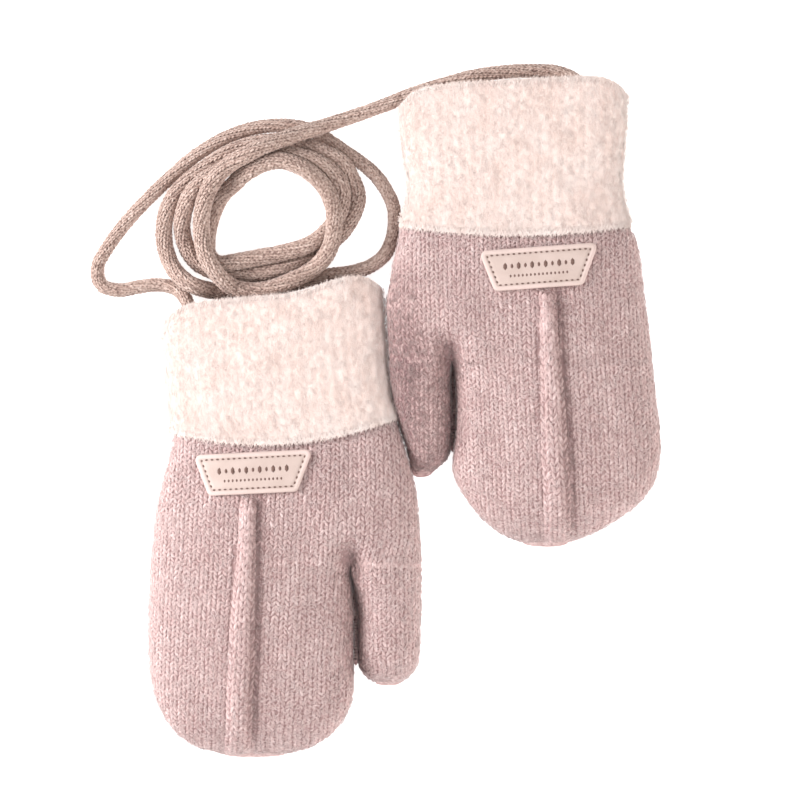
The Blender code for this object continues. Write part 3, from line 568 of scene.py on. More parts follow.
def spine_rise(mitten, along, across):
    """Height that the knitted spine adds to the back of the hand."""
    offset = np.minimum(np.abs(across - spine_across(along)) / spine_half(mitten, along), 1.0)
    run_in = smooth_step((along - spine_start(mitten)) / SPINE_RUN_IN)
    return SPINE_RISE * run_in * (1.0 - offset ** SPINE_SHAPE[0]) ** SPINE_SHAPE[1]


def crease(mitten, along, across):
    """Depth of the dip between hand and thumb, which fades up the hand from the crotch."""
    nearness = smooth_step(1.0 - (crotch_of(mitten) - along) / CREASE_LENGTH)
    offset = (across - mitten.split * MM) / CREASE_WIDTH
    return CREASE_DEPTH * nearness * np.exp(-offset * offset)


def trough_depth(mitten, along, across):
    """Depth of all the soft troughs at a place on the back of the hand."""
    depth = np.zeros_like(across)
    for trough in mitten.troughs:
        turn = math.radians(trough.turn)
        down = along - trough.along * MM
        aside = across - trough.across * MM
        lengthwise = (down * math.cos(turn) + aside * math.sin(turn)) / (trough.length * MM)
        sideways = (aside * math.cos(turn) - down * math.sin(turn)) / (trough.width * MM)
        depth = depth + trough.depth * MM * np.exp(-lengthwise ** 2 - sideways ** 2)
    return depth


def hand_points(mitten, section, across, upper, inset, relief=FULL):
    """wall_points with the troughs, the crease beside the thumb and, outside, the spine."""
    points = wall_points(section, across, upper, inset)
    dip = relief.crease * crease(mitten, section.along, across)
    raised = relief.spine * spine_rise(mitten, section.along, across) if inset < WALL else 0.0
    troughs = relief.troughs * trough_depth(mitten, section.along, across)
    points[:, 2] += np.where(upper, raised - dip - troughs, CREASE_UNDER * dip)
    return points


def world(mitten, points):
    """Points of the mitten's own frame in the world."""
    x = mitten.seat[0] * MM + mitten.side * points[..., 0]
    y = mitten.seat[1] * MM - points[..., 1]
    return np.stack([x, y, np.maximum(points[..., 2], FLOOR_GAP)], axis=-1)


# ---- Rings round the cloth ----

def hand_stops(mitten, section, along, near_thumb, fine):
    """From the crotch line over the back of the hand, round its outer edge, and back under."""
    edge = -section.outer
    spine = spine_across(along)
    half = spine_half(mitten, along)
    top = np.concatenate([
        np.linspace(near_thumb, spine + half, STEPS_SPLIT_TO_SPINE * fine + 1)[:-1],
        spine + half * np.linspace(1.0, -1.0, STEPS_OVER_SPINE * fine + 1),
        eased_to_edge(spine - half, edge, STEPS_SPINE_TO_EDGE * fine),
    ])
    under = np.append(eased_to_edge(near_thumb, edge, STEPS_UNDER_HAND * fine)[-2::-1], near_thumb)
    upper = np.arange(len(top) + len(under)) < len(top)
    return np.concatenate([top, under]), upper


def thumb_stops(section, near_hand, fine):
    """From the crotch line under the thumb, round its outer edge, and back over it."""
    edge = section.thumb_side
    under = np.append(near_hand, eased_to_edge(near_hand, edge, STEPS_UNDER_THUMB * fine))
    over = np.append(eased_to_edge(near_hand, edge, STEPS_OVER_THUMB * fine)[-2::-1], near_hand)
    upper = np.arange(len(under) + len(over)) >= len(under)
    return np.concatenate([under, over]), upper


def shoulder_stops(start, edge, fine):
    """From the crotch line over a rounded side down to its underside, both ends left out."""
    over = eased_to_edge(start, edge, STEPS_SHOULDER * fine)
    upper = np.arange(2 * len(over) - 1) < len(over)
    return np.concatenate([over, over[-2::-1]]), upper


def straight_column(top, bottom, fine):
    """Points straight down from the top to the bottom of the crotch, both left out."""
    steps = 2 * STEPS_SHOULDER * fine
    return top + (bottom - top) * np.arange(1, steps)[:, None] / steps


def palm_ring(mitten, along, inset, fine, relief=FULL):
    """(hand points, thumb points) of a row between the cuff's seam and the crotch."""
    split = mitten.split * MM
    held_back = SADDLE * along / crotch_of(mitten) if inset >= WALL else 0.0
    section = section_at(mitten.hand, along - held_back)
    stops = hand_stops(mitten, section, section.along, split, fine)
    hand = hand_points(mitten, section, *stops, inset, relief)
    thumb = hand_points(mitten, section, *thumb_stops(section, split, fine), inset, relief)
    return hand, thumb[1:-1]


def shoulder_at(mitten, along):
    return SHOULDER * (1.0 - math.exp((crotch_of(mitten) - along - 0.5 * MM) / SHOULDER_RUN))


def finger_ring(mitten, along, inset, fine, relief=FULL):
    """A closed ring round the fingers, from the crotch line's top round the outer edge."""
    section = section_at(mitten.fingers, along)
    relief = relief._replace(crease=0.0)
    near_thumb = section.thumb_side - shoulder_at(mitten, along)
    stops, upper = hand_stops(mitten, section, along, near_thumb, fine)
    back = hand_points(mitten, section, stops, upper, inset, relief)
    stops, upper = shoulder_stops(near_thumb, section.thumb_side, fine)
    side = hand_points(mitten, section, stops, upper, inset, relief)
    return np.concatenate([back, side[::-1]])


def thumb_ring(mitten, along, inset, fine, relief=FULL):
    """A closed ring round the thumb, from under the crotch line round its outer edge."""
    section = section_at(mitten.thumb, along)
    width = section.outer + section.thumb_side
    near_hand = -section.outer + min(shoulder_at(mitten, along), THUMB_SHOULDER * width)
    loop = wall_points(section, *thumb_stops(section, near_hand, fine), inset)
    side = wall_points(section, *shoulder_stops(near_hand, -section.outer, fine), inset)
    ring = np.concatenate([loop, side])
    return eased_from_root(mitten, ring, along, inset, fine, relief) if inset < WALL else ring


def eased_from_root(mitten, ring, along, inset, fine, relief):
    """Turn the hand's own shape at the crotch smoothly into the thumb's."""
    crotch = crotch_of(mitten)
    split = mitten.split * MM
    share = float(smooth_step((along - crotch) / (2.0 * SHOULDER_RUN)))
    section = section_at(mitten.hand, crotch)
    loop = hand_points(mitten, section, *thumb_stops(section, split, fine), inset, relief)
    root = np.concatenate([loop, straight_column(loop[-1], loop[0], fine)])
    near_side = np.maximum(root[:, 0], split + THUMB_CLEARANCE)
    eased = ring.copy()
    eased[:, 0] = blend(near_side, ring[:, 0], share)
    eased[:, 2] = blend(root[:, 2], ring[:, 2], share)
    return eased


def cuff_ring(mitten, along, inset, count):
    """Evenly spaced points round the cuff, its ribs left out."""
    section = section_at(mitten.cuff, along)
    middle, half = span_of(section)
    number = np.arange(CUFF_SCAN + 1)
    across = middle + half * np.cos(2.0 * math.pi * number / CUFF_SCAN)
    points = wall_points(section, across, 2 * number <= CUFF_SCAN, inset)
    lengths = run_lengths(points[:, ::2])
    return read_along(points, lengths, lengths[-1] * np.arange(count) / count)


# ---- Shells ----

class Shell:
    """A closed wall of cloth, gathered from rings of points."""

    def __init__(self, mitten):
        self.mitten = mitten
        self.points = []
        self.faces = []

    def add(self, points):
        start = len(self.points)
        self.points.extend(world(self.mitten, np.asarray(points)))
        return list(range(start, len(self.points)))

    def band(self, first, second):
        """Quads between two closed loops with the same number of points."""
        count = len(first)
        for i in range(count):
            j = (i + 1) % count
            self.faces.append((first[i], first[j], second[j], second[i]))

    def bands(self, loops):
        for first, second in zip(loops, loops[1:]):
            self.band(first, second)

    def cap(self, loop, point):
        """Close a loop with a fan to one point."""
        tip = self.add([point])[0]
        for i in range(len(loop)):
            self.faces.append((loop[i], loop[(i + 1) % len(loop)], tip))

    def cap_tip(self, loop, rows, tip, inset):
        """Close a tube of cloth at its tip."""
        along = tip.along * MM - inset
        height = WAIST * section_at(rows, along).height + TIP_LIFT * inset
        self.cap(loop, (tip.across * MM, along, height))

    def finish(self, name, material):
        data = bpy.data.meshes.new(name)
        data.from_pydata([tuple(point) for point in self.points], [], self.faces)
        mesh = bmesh.new()
        mesh.from_mesh(data)
        bmesh.ops.recalc_face_normals(mesh, faces=mesh.faces)
        mesh.to_mesh(data)
        mesh.free()
        data.materials.append(material)
        data.shade_smooth()
        return placed(name, data)


def crowded(start, end, count, power):
    """Places from start to end that crowd together at the end."""
    share = np.arange(count) / (count - 1)
    return start + (end - start) * (1.0 - (1.0 - share) ** power)


def hand_shell(mitten, material):
    """The hand from the cuff's seam to the fingertips, open at the thumb."""
    shell = Shell(mitten)
    crotch = crotch_of(mitten)
    fine = SHELL_FINENESS
    edges = []
    for inset in (SINK, WALL):
        loops = []
        for along in np.linspace(0.5 * SEAM_GAP, crotch, ROWS_PALM * fine):
            hand, thumb = palm_ring(mitten, along, inset, fine)
            loops.append((shell.add(hand), shell.add(thumb)))
        shell.bands([a + b for a, b in loops])
        column = shell.add(straight_column(hand[0], hand[-1], fine))
        hand_loop, thumb_loop = loops[-1]
        last = mitten.fingers[-1].along * MM - TIP_ROOM * inset
        first = crotch + (CROTCH_STEP if inset < WALL else 0.0)
        fingers = [hand_loop + column[::-1]]
        for along in crowded(first, last, ROWS_FINGERS * fine, FINGER_CROWDING):
            fingers.append(shell.add(finger_ring(mitten, along, inset, fine)))
        shell.bands(fingers)
        shell.cap_tip(fingers[-1], mitten.fingers, mitten.finger_tip, inset)
        edges.append((loops[0][0] + loops[0][1],
                      [hand_loop[-1]] + thumb_loop + [hand_loop[0]] + column))
    (outer_seam, outer_thumb), (inner_seam, inner_thumb) = edges
    shell.band(outer_seam, inner_seam)
    rim = shell.add(thumb_ring(mitten, crotch, WALL, fine))
    shell.band(inner_thumb, rim)
    shell.band(outer_thumb, rim)
    return shell.finish(f"hand_{mitten.name}_shell", material)


def thumb_shell(mitten, material):
    shell = Shell(mitten)
    start = crotch_of(mitten) + SEAM_GAP
    rims = []
    for inset in (SINK, WALL):
        last = mitten.thumb[-1].along * MM - TIP_ROOM * inset
        loops = [
            shell.add(thumb_ring(mitten, along, inset, SHELL_FINENESS))
            for along in crowded(start, last, ROWS_THUMB * SHELL_FINENESS, THUMB_CROWDING)
        ]
        shell.bands(loops)
        shell.cap_tip(loops[-1], mitten.thumb, mitten.thumb_tip, inset)
        rims.append(loops[0])
    shell.band(rims[0], rims[1])
    return shell.finish(f"thumb_{mitten.name}_shell", material)


# ---- The skin that yarn is placed on ----

class Skin:
    """The cloth's outside as an even grid, measured round it (s) and along its wales (t)."""

    def __init__(self, mitten, rings, references, plain=None):
        """Distances are measured on the plain rings, which have the rings' points one by one."""
        lengths = [np.linalg.norm(ring - np.roll(ring, 1, axis=0), axis=1) for ring in plain or rings]
        self.columns = int(0.5 * max(steps.sum() for steps in lengths) / SKIN_STEP) + 2
        places = SKIN_STEP * np.arange(-self.columns, self.columns + 1)
        grids = ([], [])
        held = []
        for number, (ring, reference) in enumerate(zip(rings, references)):
            steps = np.roll(lengths[number], -reference)
            steps = np.append(steps[1:], steps[0])
            ends = np.concatenate([[0.0], np.cumsum(steps)])
            around = np.mod(places, ends[-1])
            for grid, form in zip(grids, (ring, (plain or rings)[number])):
                turned = np.roll(form, -reference, axis=0)
                closed = np.vstack([turned, turned[:1]])
                grid.append(read_along(closed, ends, around))
            held.append(np.abs(places) <= 0.5 * ends[-1])
        grid, plain_grid = np.array(grids[0]), np.array(grids[1])
        aside = int(COURSE_LINES / SKIN_STEP)
        lines = [self.columns, self.columns + aside, self.columns - aside]
        steps = np.linalg.norm(np.diff(plain_grid[:, lines], axis=0), axis=2).mean(axis=1) + 1e-7
        lengths = np.concatenate([[0.0], np.cumsum(steps)])
        self.length = lengths[-1]
        self.ring_places = lengths
        rows = int(self.length / SKIN_STEP) + 1
        at = np.interp(np.linspace(0.0, self.length, rows), lengths, np.arange(len(lengths)))
        low = np.minimum(at.astype(int), len(lengths) - 2)
        share = (at - low)[:, None, None]
        grid = world(mitten, blend(grid[low], grid[low + 1], share))
        self.grid = grid
        self.held = np.array(held)[low] & np.array(held)[low + 1]
        self.row_step = self.length / (rows - 1)
        turn = np.cross(np.gradient(grid, axis=1), np.gradient(grid, axis=0))
        normals = unit(turn)
        centre = grid.mean(axis=1, keepdims=True)
        outward = np.sign(((grid - centre) * normals).sum(axis=2)[self.held].sum())
        self.normals = normals * outward

    def place(self, s, t):
        """Grid cells and shares within them."""
        column = np.clip(s / SKIN_STEP + self.columns, 0, self.grid.shape[1] - 1.001)
        row = np.clip(t / self.row_step, 0, self.grid.shape[0] - 1.001)
        i, j = row.astype(int), column.astype(int)
        return i, j, (row - i)[..., None], (column - j)[..., None]

    def read(self, field, s, t):
        i, j, down, aside = self.place(s, t)
        near = blend(field[i, j], field[i, j + 1], aside)
        far = blend(field[i + 1, j], field[i + 1, j + 1], aside)
        return blend(near, far, down)

    def at(self, s, t):
        """Points and outward normals; past either end the cloth goes on straight."""
        points = self.read(self.grid, s, t)
        points[..., 1] -= np.maximum(t - self.length, 0.0) + np.minimum(t, 0.0)
        return points, unit(self.read(self.normals, s, t))

    def holds(self, s, t):
        """Whether there is cloth at a place."""
        i, j, _, _ = self.place(s, t)
        inside = (t >= -EDGE_OVERLAP) & (t <= self.length)
        return inside & self.held[i, j] & self.held[np.minimum(i + 1, len(self.held) - 1), j]


class CordSkin:
    """The cord's surface, measured round it (s) and along it (t)."""

    def __init__(self, path, radius):
        self.path = np.array(path)
        self.radius = radius
        self.lengths = run_lengths(self.path)
        self.length = self.lengths[-1]
        self.swell = np.interp(self.lengths / self.length, *np.transpose(CORD_SWELL))
        tangents = unit(np.gradient(self.path, axis=0))
        normal = unit(np.cross(tangents[0], (0.0, 0.0, 1.0)))
        normals = []
        for tangent in tangents:
            normal = unit(normal - tangent * normal.dot(tangent))
            normals.append(normal)
        self.normals = np.array(normals)
        self.sides = np.cross(tangents, self.normals)

    def at(self, s, t):
        angle = (s / self.radius + CORD_TURNS * 2.0 * math.pi * t / self.length)[..., None]
        normals, sides, path = (
            read_along(field, self.lengths, t) for field in (self.normals, self.sides, self.path)
        )
        out = unit(normals * np.cos(angle) + sides * np.sin(angle))
        swell = np.interp(t, self.lengths, self.swell)[..., None]
        return path + out * (self.radius + swell), out

    def holds(self, s, t):
        return (t >= 0.0) & (t <= self.length)


def nearest_upper(ring, across):
    """Index of the ring's point over a place across, on its upper side."""
    distance = np.abs(ring[:, 0] - across) + np.where(ring[:, 2] < ring[:, 2].mean(), 1.0, 0.0)
    return int(distance.argmin())


def hand_rings(mitten, relief):
    """The hand's outside from the cuff's seam to the fingertips, the thumb's root included."""
    crotch = crotch_of(mitten)
    fine = SKIN_FINENESS
    rings = []
    for along in np.linspace(HAND_SKIN_START, crotch, PALM_RINGS):
        hand, thumb = palm_ring(mitten, along, SINK, fine, relief)
        rings.append(np.concatenate([hand, thumb]))
    column = straight_column(hand[0], hand[-1], fine)
    rings.append(np.concatenate([hand, column[::-1]]))
    last = mitten.fingers[-1].along * MM
    for along in crowded(crotch + CROTCH_STEP, last, FINGER_RINGS, FINGER_CROWDING):
        rings.append(finger_ring(mitten, along, SINK, fine, relief))
    return rings


def hand_skin(mitten):
    rings = hand_rings(mitten, FULL)
    references = [nearest_upper(ring, spine_across(ring[len(ring) // 4, 1])) for ring in rings]
    return Skin(mitten, rings, references, hand_rings(mitten, PLAIN))


def thumb_skin(mitten):
    start = crotch_of(mitten) + SEAM_GAP
    alongs = crowded(start, mitten.thumb[-1].along * MM, THUMB_RINGS, THUMB_CROWDING)
    rings, plain = (
        [thumb_ring(mitten, along, SINK, SKIN_FINENESS, relief) for along in alongs]
        for relief in (FULL, PLAIN)
    )
    middle = mitten.thumb_tip.across * MM
    return Skin(mitten, rings, [nearest_upper(ring, middle) for ring in rings], plain)


def thumb_to_spine(mitten):
    """Distance over the cloth from the thumb's middle to the spine, at the crotch."""
    crotch = crotch_of(mitten)
    ring = np.concatenate(palm_ring(mitten, crotch, SINK, SKIN_FINENESS, PLAIN))
    spine = nearest_upper(ring, spine_across(crotch))
    middle = nearest_upper(ring, mitten.thumb_tip.across * MM)
    path = np.roll(ring, -middle, axis=0)[: (spine - middle) % len(ring) + 1]
    return run_lengths(path)[-1]


# ---- Yarn ----

# Places along a leg, a tuft and a thread, and how plump each is there.
LEG_SHARES = np.array([0.0, 0.30, 0.70, 1.0])
LEG_PLUMP = np.array([0.0, 1.0, 0.95, 0.0])
TUFT_SHARES = np.array([0.0, 0.5, 1.0])
TUFT_PLUMP = np.array([0.0, 1.0, 0.0])
THREAD_PLUMP = np.array([0.0, 1.0, 1.0, 0.0])
SPINE_COURSES = 1.6             # a stitch of the spine is as long as this many others
SPINE_LEG = (0.95, 1.5)         # and its legs' width and height are these shares of the others'
SPINE_REACH = 1.55              # half the width that it keeps free of other stitches, in its wales
LEG_SIDES, SPINE_LEG_SIDES, THREAD_SIDES, FINE_SIDES = 4, 6, 6, 3
# A leg of a stitch, from its root to its point: how far it is from the stitch's middle in wales
# and in courses, and how high it lies in half heights of a leg.
STITCH_SPREAD = np.array([0.03, 0.18, 0.34, 0.49])
STITCH_RISE = np.array([0.74, 0.28, -0.28, -0.74])
STITCH_LIFT = np.array([-0.20, 0.10, 0.14, -0.24])
TONE_SPREAD = 0.13              # how much the shade of the yarn differs from leg to leg
# Slow waves over the knitting: how many, how strong, and how long.
BLOTCHES = (9, 0.10, 16 * MM)
SIDE_DRIFT = (6, 0.10 * MM, 26 * MM)
ROW_DRIFT = (6, 0.22 * MM, 30 * MM)
Yarn = namedtuple("Yarn", "points triangles tone yarn uv normals")


def spindle_template(rings, sides):
    """Triangles and their map corners for one closed spindle of yarn, pointed at both ends."""
    triangles = []
    corners = []
    last = 1 + (rings - 2) * sides

    def vertex(ring, side):
        if ring == 0:
            return 0
        if ring == rings - 1:
            return last
        return 1 + (ring - 1) * sides + side % sides

    def corner(ring, side):
        return (side / sides, ring / (rings - 1))

    for side in range(sides):
        for ring in range(rings - 1):
            a, b, c, d = (ring, side), (ring, side + 1), (ring + 1, side + 1), (ring + 1, side)
            if ring > 0:
                triangles.append([vertex(*k) for k in (a, c, b)])
                corners.append([corner(*k) for k in (a, c, b)])
            if ring < rings - 2:
                triangles.append([vertex(*k) for k in (a, d, c)])
                corners.append([corner(*k) for k in (a, d, c)])
    return np.array(triangles), np.array(corners, float)


def spindles(centres, ups, half_widths, half_heights, sides, tone, soft=0.0):
    """Closed spindles along many short centre lines, all with as many rings and sides.

    Soft is how far their shading follows the cloth (ups) rather than their own roundness.
    """
    count, rings = centres.shape[:2]

    def closed(ends, body):
        """The body's values between those of the two pointed ends."""
        return np.concatenate([ends[:, :1], body, ends[:, -1:]], axis=1)

    ways = unit(np.gradient(centres, axis=1))
    across = unit(np.cross(ways, ups))
    out = np.cross(across, ways)
    angles = 2.0 * math.pi * (np.arange(sides) + 0.5) / sides
    cosine = np.cos(angles)[None, None, :, None]
    sine = np.sin(angles)[None, None, :, None]
    body = (
        centres[:, 1:-1, None]
        + across[:, 1:-1, None] * half_widths[:, 1:-1, None, None] * cosine
        + out[:, 1:-1, None] * half_heights[:, 1:-1, None, None] * sine
    ).reshape(count, -1, 3)
    points = closed(centres, body)
    points[..., 2] = np.maximum(points[..., 2], FLOOR_GAP)
    own = across[:, 1:-1, None] * cosine + out[:, 1:-1, None] * sine
    own = closed(ups, own.reshape(count, -1, 3))
    cloth = closed(ups, np.repeat(ups[:, 1:-1], sides, axis=1))
    normals = unit(own * (1.0 - soft) + cloth * soft)
    each = points.shape[1]
    triangles, corners = spindle_template(rings, sides)
    triangles = (triangles[None] + each * np.arange(count)[:, None, None]).reshape(-1, 3)
    lengths = np.cumsum(np.linalg.norm(np.diff(centres, axis=1), axis=2), axis=1)
    lengths = np.concatenate([np.zeros((count, 1)), lengths], axis=1)
    lengthwise = closed(lengths, np.repeat(lengths[:, 1:-1], sides, axis=1))
    sideways = np.concatenate([[0.0], np.tile(np.cos(angles), rings - 2), [0.0]])
    yarn = np.stack([
        lengthwise / MM, np.tile(sideways, (count, 1)), np.tile(tone[:, None], (1, each))
    ], axis=2)
    return Yarn(
        points.reshape(-1, 3), triangles, np.repeat(tone, each), yarn.reshape(-1, 3),
        cell_map(corners, count), normals.reshape(-1, 3),
    )


def cell_map(corners, count):
    """A cell of its own on the texture map for each of many like spindles."""
    across = math.ceil(math.sqrt(count))
    cells = np.stack([np.arange(count) % across, np.arange(count) // across], axis=1)
    inside = 0.1 + 0.8 * corners.reshape(1, -1, 2)
    return ((cells[:, None] + inside) / across).reshape(-1, 2)


def gathered(parts):
    """Several lots of yarn as one, each in a row of its own on the texture map."""
    starts = np.cumsum([0] + [len(part.points) for part in parts])
    rows = len(parts)
    joined = {
        field: np.concatenate([getattr(part, field) for part in parts])
        for field in ("points", "tone", "yarn", "normals")
    }
    return Yarn(
        triangles=np.concatenate([part.triangles + start for part, start in zip(parts, starts)]),
        uv=np.concatenate([(part.uv + (0.0, k)) / (1.0, rows) for k, part in enumerate(parts)]),
        **joined,
    )


def yarn_piece(name, lot, material):
    """A mesh object of yarn, riding on the part."""
    if not len(lot.triangles):
        raise RuntimeError(f"{name} has no yarn")
    data = bpy.data.meshes.new(name)
    data.vertices.add(len(lot.points))
    data.vertices.foreach_set("co", lot.points.astype(np.float32).ravel())
    data.loops.add(3 * len(lot.triangles))
    data.loops.foreach_set("vertex_index", lot.triangles.astype(np.int32).ravel())
    data.polygons.add(len(lot.triangles))
    data.polygons.foreach_set("loop_start", np.arange(0, 3 * len(lot.triangles), 3, dtype=np.int32))
    data.update(calc_edges=True)
    data.attributes.new("tone", "FLOAT", "POINT").data.foreach_set("value", lot.tone.astype(np.float32))
    data.attributes.new("yarn", "FLOAT_VECTOR", "POINT").data.foreach_set(
        "vector", lot.yarn.astype(np.float32).ravel()
    )
    data.uv_layers.new(name="OFBake").data.foreach_set("uv", lot.uv.astype(np.float32).ravel())
    data.materials.append(material)
    data.shade_smooth()
    data.normals_split_custom_set_from_vertices(lot.normals.tolist())
    made = placed(name, data)
    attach(made, "root")
    return made


def wander(rng, s, t, count, size, length):
    """A slow random drift over the cloth, from a few waves."""
    drift = np.zeros(np.broadcast(s, t).shape)
    for _ in range(count):
        turn = rng.uniform(0.0, math.pi)
        wave = length * rng.uniform(0.6, 1.6)
        drift += np.sin((s * math.cos(turn) + t * math.sin(turn)) * 2 * math.pi / wave
                        + rng.uniform(0.0, 2 * math.pi))
    return drift * size / math.sqrt(count)


def stitch_legs(skin, s, t, side, wale, course, size, rng, tones):
    """One leg for each stitch place (s, t), on the given side of its V."""
    count = len(s)
    jitter = rng.normal(0.0, 1.0, (5, count, 1))
    around = s[:, None] + side * wale[:, None] * (STITCH_SPREAD + 0.02 * jitter[0])
    down = t[:, None] + course * (STITCH_RISE * (1.0 + 0.05 * jitter[1]) + 0.06 * jitter[2])
    points, normals = skin.at(around, down)
    lift = STITCH_LIFT * size[1] + 0.08 * size[1] * jitter[3]
    plump = 1.0 + 0.09 * jitter[4]
    widths = size[0] * LEG_PLUMP * plump
    heights = size[1] * LEG_PLUMP * plump
    centres = points + normals * lift[..., None]
    lengths = np.linalg.norm(np.diff(points, axis=1), axis=2).sum(axis=1)
    usual = np.hypot(1.48 * course, 0.46 * wale)
    kept = skin.holds(around, down).all(axis=1) & (lengths < LONGEST_LEG * usual)
    return [array[kept] for array in (centres, normals, widths, heights, tones)]


def laid_stitches(skin, s, t, wale, course, size, sides, rng):
    """Both legs of every stitch at the places (s, t), each with its shade of yarn."""
    blotch = wander(rng, s, t, *BLOTCHES)
    streak = 0.05 * np.sin(np.round(s / wale) * 12.9898 + 4.1)      # a shade for each wale
    s = s + wander(rng, s, t, *SIDE_DRIFT)
    t = t + wander(rng, s, t, *ROW_DRIFT)
    lots = []
    for side in (-1, 1):
        tones = np.clip(0.5 + streak + blotch + rng.normal(0.0, TONE_SPREAD, len(s)), 0.0, 1.0)
        lots.append(stitch_legs(skin, s, t, side, wale, course, size, rng, tones))
    centres, ups, widths, heights, tones = (np.concatenate(pair) for pair in zip(*lots))
    return spindles(centres, ups, widths, heights, sides, tones, YARN_SOFTNESS)


def stockinette(skin, settings, rng, phase=0.0, start=0.0, before=1, avoid=None):
    """Plain knitting over a skin, the points of its Vs toward the fingertips."""
    wale, course = settings.wale, settings.course
    reach = int(skin.columns * SKIN_STEP / wale) + 1
    numbers = np.arange(-reach, reach + 1)
    courses = np.arange(-before, int((skin.length - start) / course) + 1)
    s, t = np.meshgrid(numbers * wale + phase, start + (courses + 0.5) * course, indexing="ij")
    s, t = s.ravel(), t.ravel()
    if avoid is not None:
        kept = ~avoid(s, t)
        s, t = s[kept], t[kept]
    size = (settings.leg_width, settings.leg_height)
    return laid_stitches(skin, s, t, np.full(len(s), wale), course, size, LEG_SIDES, rng)


def spine_stitches(mitten, skin, settings, rng, start):
    """Three wales of long stitches up the spine, as wide together as it is."""
    course = SPINE_COURSES * settings.course
    courses = np.arange(int((skin.length - start) / course) + 1)
    numbers, t = np.meshgrid((-1.0, 0.0, 1.0), start + (courses + 0.5) * course, indexing="ij")
    numbers, t = numbers.ravel(), t.ravel()
    wale = settings.wale * spine_scale(mitten, t)
    size = (SPINE_LEG[0] * settings.leg_width, SPINE_LEG[1] * settings.leg_height)
    return laid_stitches(skin, numbers * wale, t, wale, course, size, SPINE_LEG_SIDES, rng)


def hand_stitches(mitten, skin, settings, rng):
    spine_from = spine_start(mitten) - 0.5 * MM

    def on_spine(s, t):
        half = SPINE_REACH * settings.wale * spine_scale(mitten, t)
        return (np.abs(s) < half) & (t > spine_from)

    return [
        stockinette(skin, settings, rng, avoid=on_spine),
        spine_stitches(mitten, skin, settings, rng, spine_from),
    ]


def thumb_stitches(mitten, hand, skin, settings, rng):
    """The thumb's wales and courses go on from those of the hand's skin."""
    knitted = hand.ring_places[PALM_RINGS - 1] / settings.course
    row = math.ceil(knitted - 0.5) - knitted
    return [stockinette(
        skin, settings, rng, phase=thumb_to_spine(mitten) % settings.wale,
        start=row * settings.course, before=2,
    )]


def darned(shells, laid, settings, rng):
    """Legs for the places seen from above that the rows of stitches have left bare."""
    points = []
    faces = []
    for shell in shells:
        start = len(points)
        points += [tuple(vertex.co) for vertex in shell.data.vertices]
        faces += [[start + k for k in polygon.vertices] for polygon in shell.data.polygons]
    cloth = BVHTree.FromPolygons(points, faces)
    yarn_points = np.concatenate([lot.points for lot in laid])
    covered = KDTree(len(yarn_points))
    for number, point in enumerate(yarn_points):
        covered.insert(point, number)
    covered.balance()
    down = Vector((0.0, 0.0, -1.0))

    def below(x, y):
        return cloth.ray_cast(Vector((x, y, 1.0)), down)

    low, high = np.min(points, axis=0), np.max(points, axis=0)
    lines = []
    ups = []
    for x in np.arange(low[0], high[0], DARN_STEP):
        for y in np.arange(low[1], high[1], DARN_STEP):
            hits = [below(x, y + aside) for aside in (0.0, DARN_GAP, -DARN_GAP)]
            hits = [hit for hit in hits if hit[0] is not None]
            if not hits:
                continue
            place, normal = max(hits, key=lambda hit: hit[0].z)[:2]
            if normal.z < DARN_SLOPE:
                continue
            if covered.find(place)[2] < DARN_REACH:
                continue
            way = Vector((0.25 * settings.wale * rng.choice((-1.0, 1.0)), 1.6 * settings.course, 0.0))
            if normal.z < EDGE_SLOPE:   # there a leg follows the edge
                way = 1.2 * settings.course * Vector((-normal.y, normal.x, 0.0)).normalized()
            way.z = -(way.x * normal.x + way.y * normal.y) / normal.z
            lines.append([place + way * share for share in LEG_SHARES - 0.5])
            ups.append(normal)
    if not lines:
        return []
    ups = np.repeat(np.array(ups)[:, None], len(LEG_SHARES), axis=1)
    lines = np.array(lines)
    return [even_legs(lines + DARN_LIFT * ups, ups, settings, rng)]


def seam_yarn(mitten, settings, rng):
    """Legs over the seam between the hand and the thumb, all round the thumb's root."""
    seam = crotch_of(mitten) + 0.5 * SEAM_GAP
    ring = thumb_ring(mitten, seam + 0.5 * SEAM_GAP, SINK, SKIN_FINENESS)
    ring = ring[ring[:, 0] > mitten.split * MM + SEAM_CLEAR]
    lengths = run_lengths(ring[:, ::2])
    wanted = np.arange(0.5 * SEAM_STEP, lengths[-1], SEAM_STEP)
    across, height = read_along(ring[:, ::2], lengths, wanted).T
    slope = unit(np.stack([np.gradient(across), np.gradient(height)], axis=1))
    out = np.stack([slope[:, 1], -slope[:, 0]], axis=1)
    out *= np.sign((out * np.stack([across - across.mean(), height - height.mean()], axis=1)).sum())
    count = len(wanted)
    shares = LEG_SHARES - 0.5
    lean = 0.22 * settings.wale * np.where(np.arange(count) % 2, 1.0, -1.0)[:, None] * shares
    down = seam + rng.normal(0.0, 0.25, (count, 1)) * MM + 1.7 * settings.course * shares
    lift = 0.4 * settings.leg_height * np.array([-1.0, 0.3, 0.3, -1.0])
    centres = np.stack([
        across[:, None] + slope[:, :1] * lean + out[:, :1] * lift, down,
        height[:, None] + slope[:, 1:] * lean + out[:, 1:] * lift,
    ], axis=2)
    ups = np.stack([mitten.side * out[:, 0], 0.0 * across, out[:, 1]], axis=1)
    ups = np.repeat(ups[:, None], len(LEG_SHARES), axis=1)
    return even_legs(world(mitten, centres), ups, settings, rng)


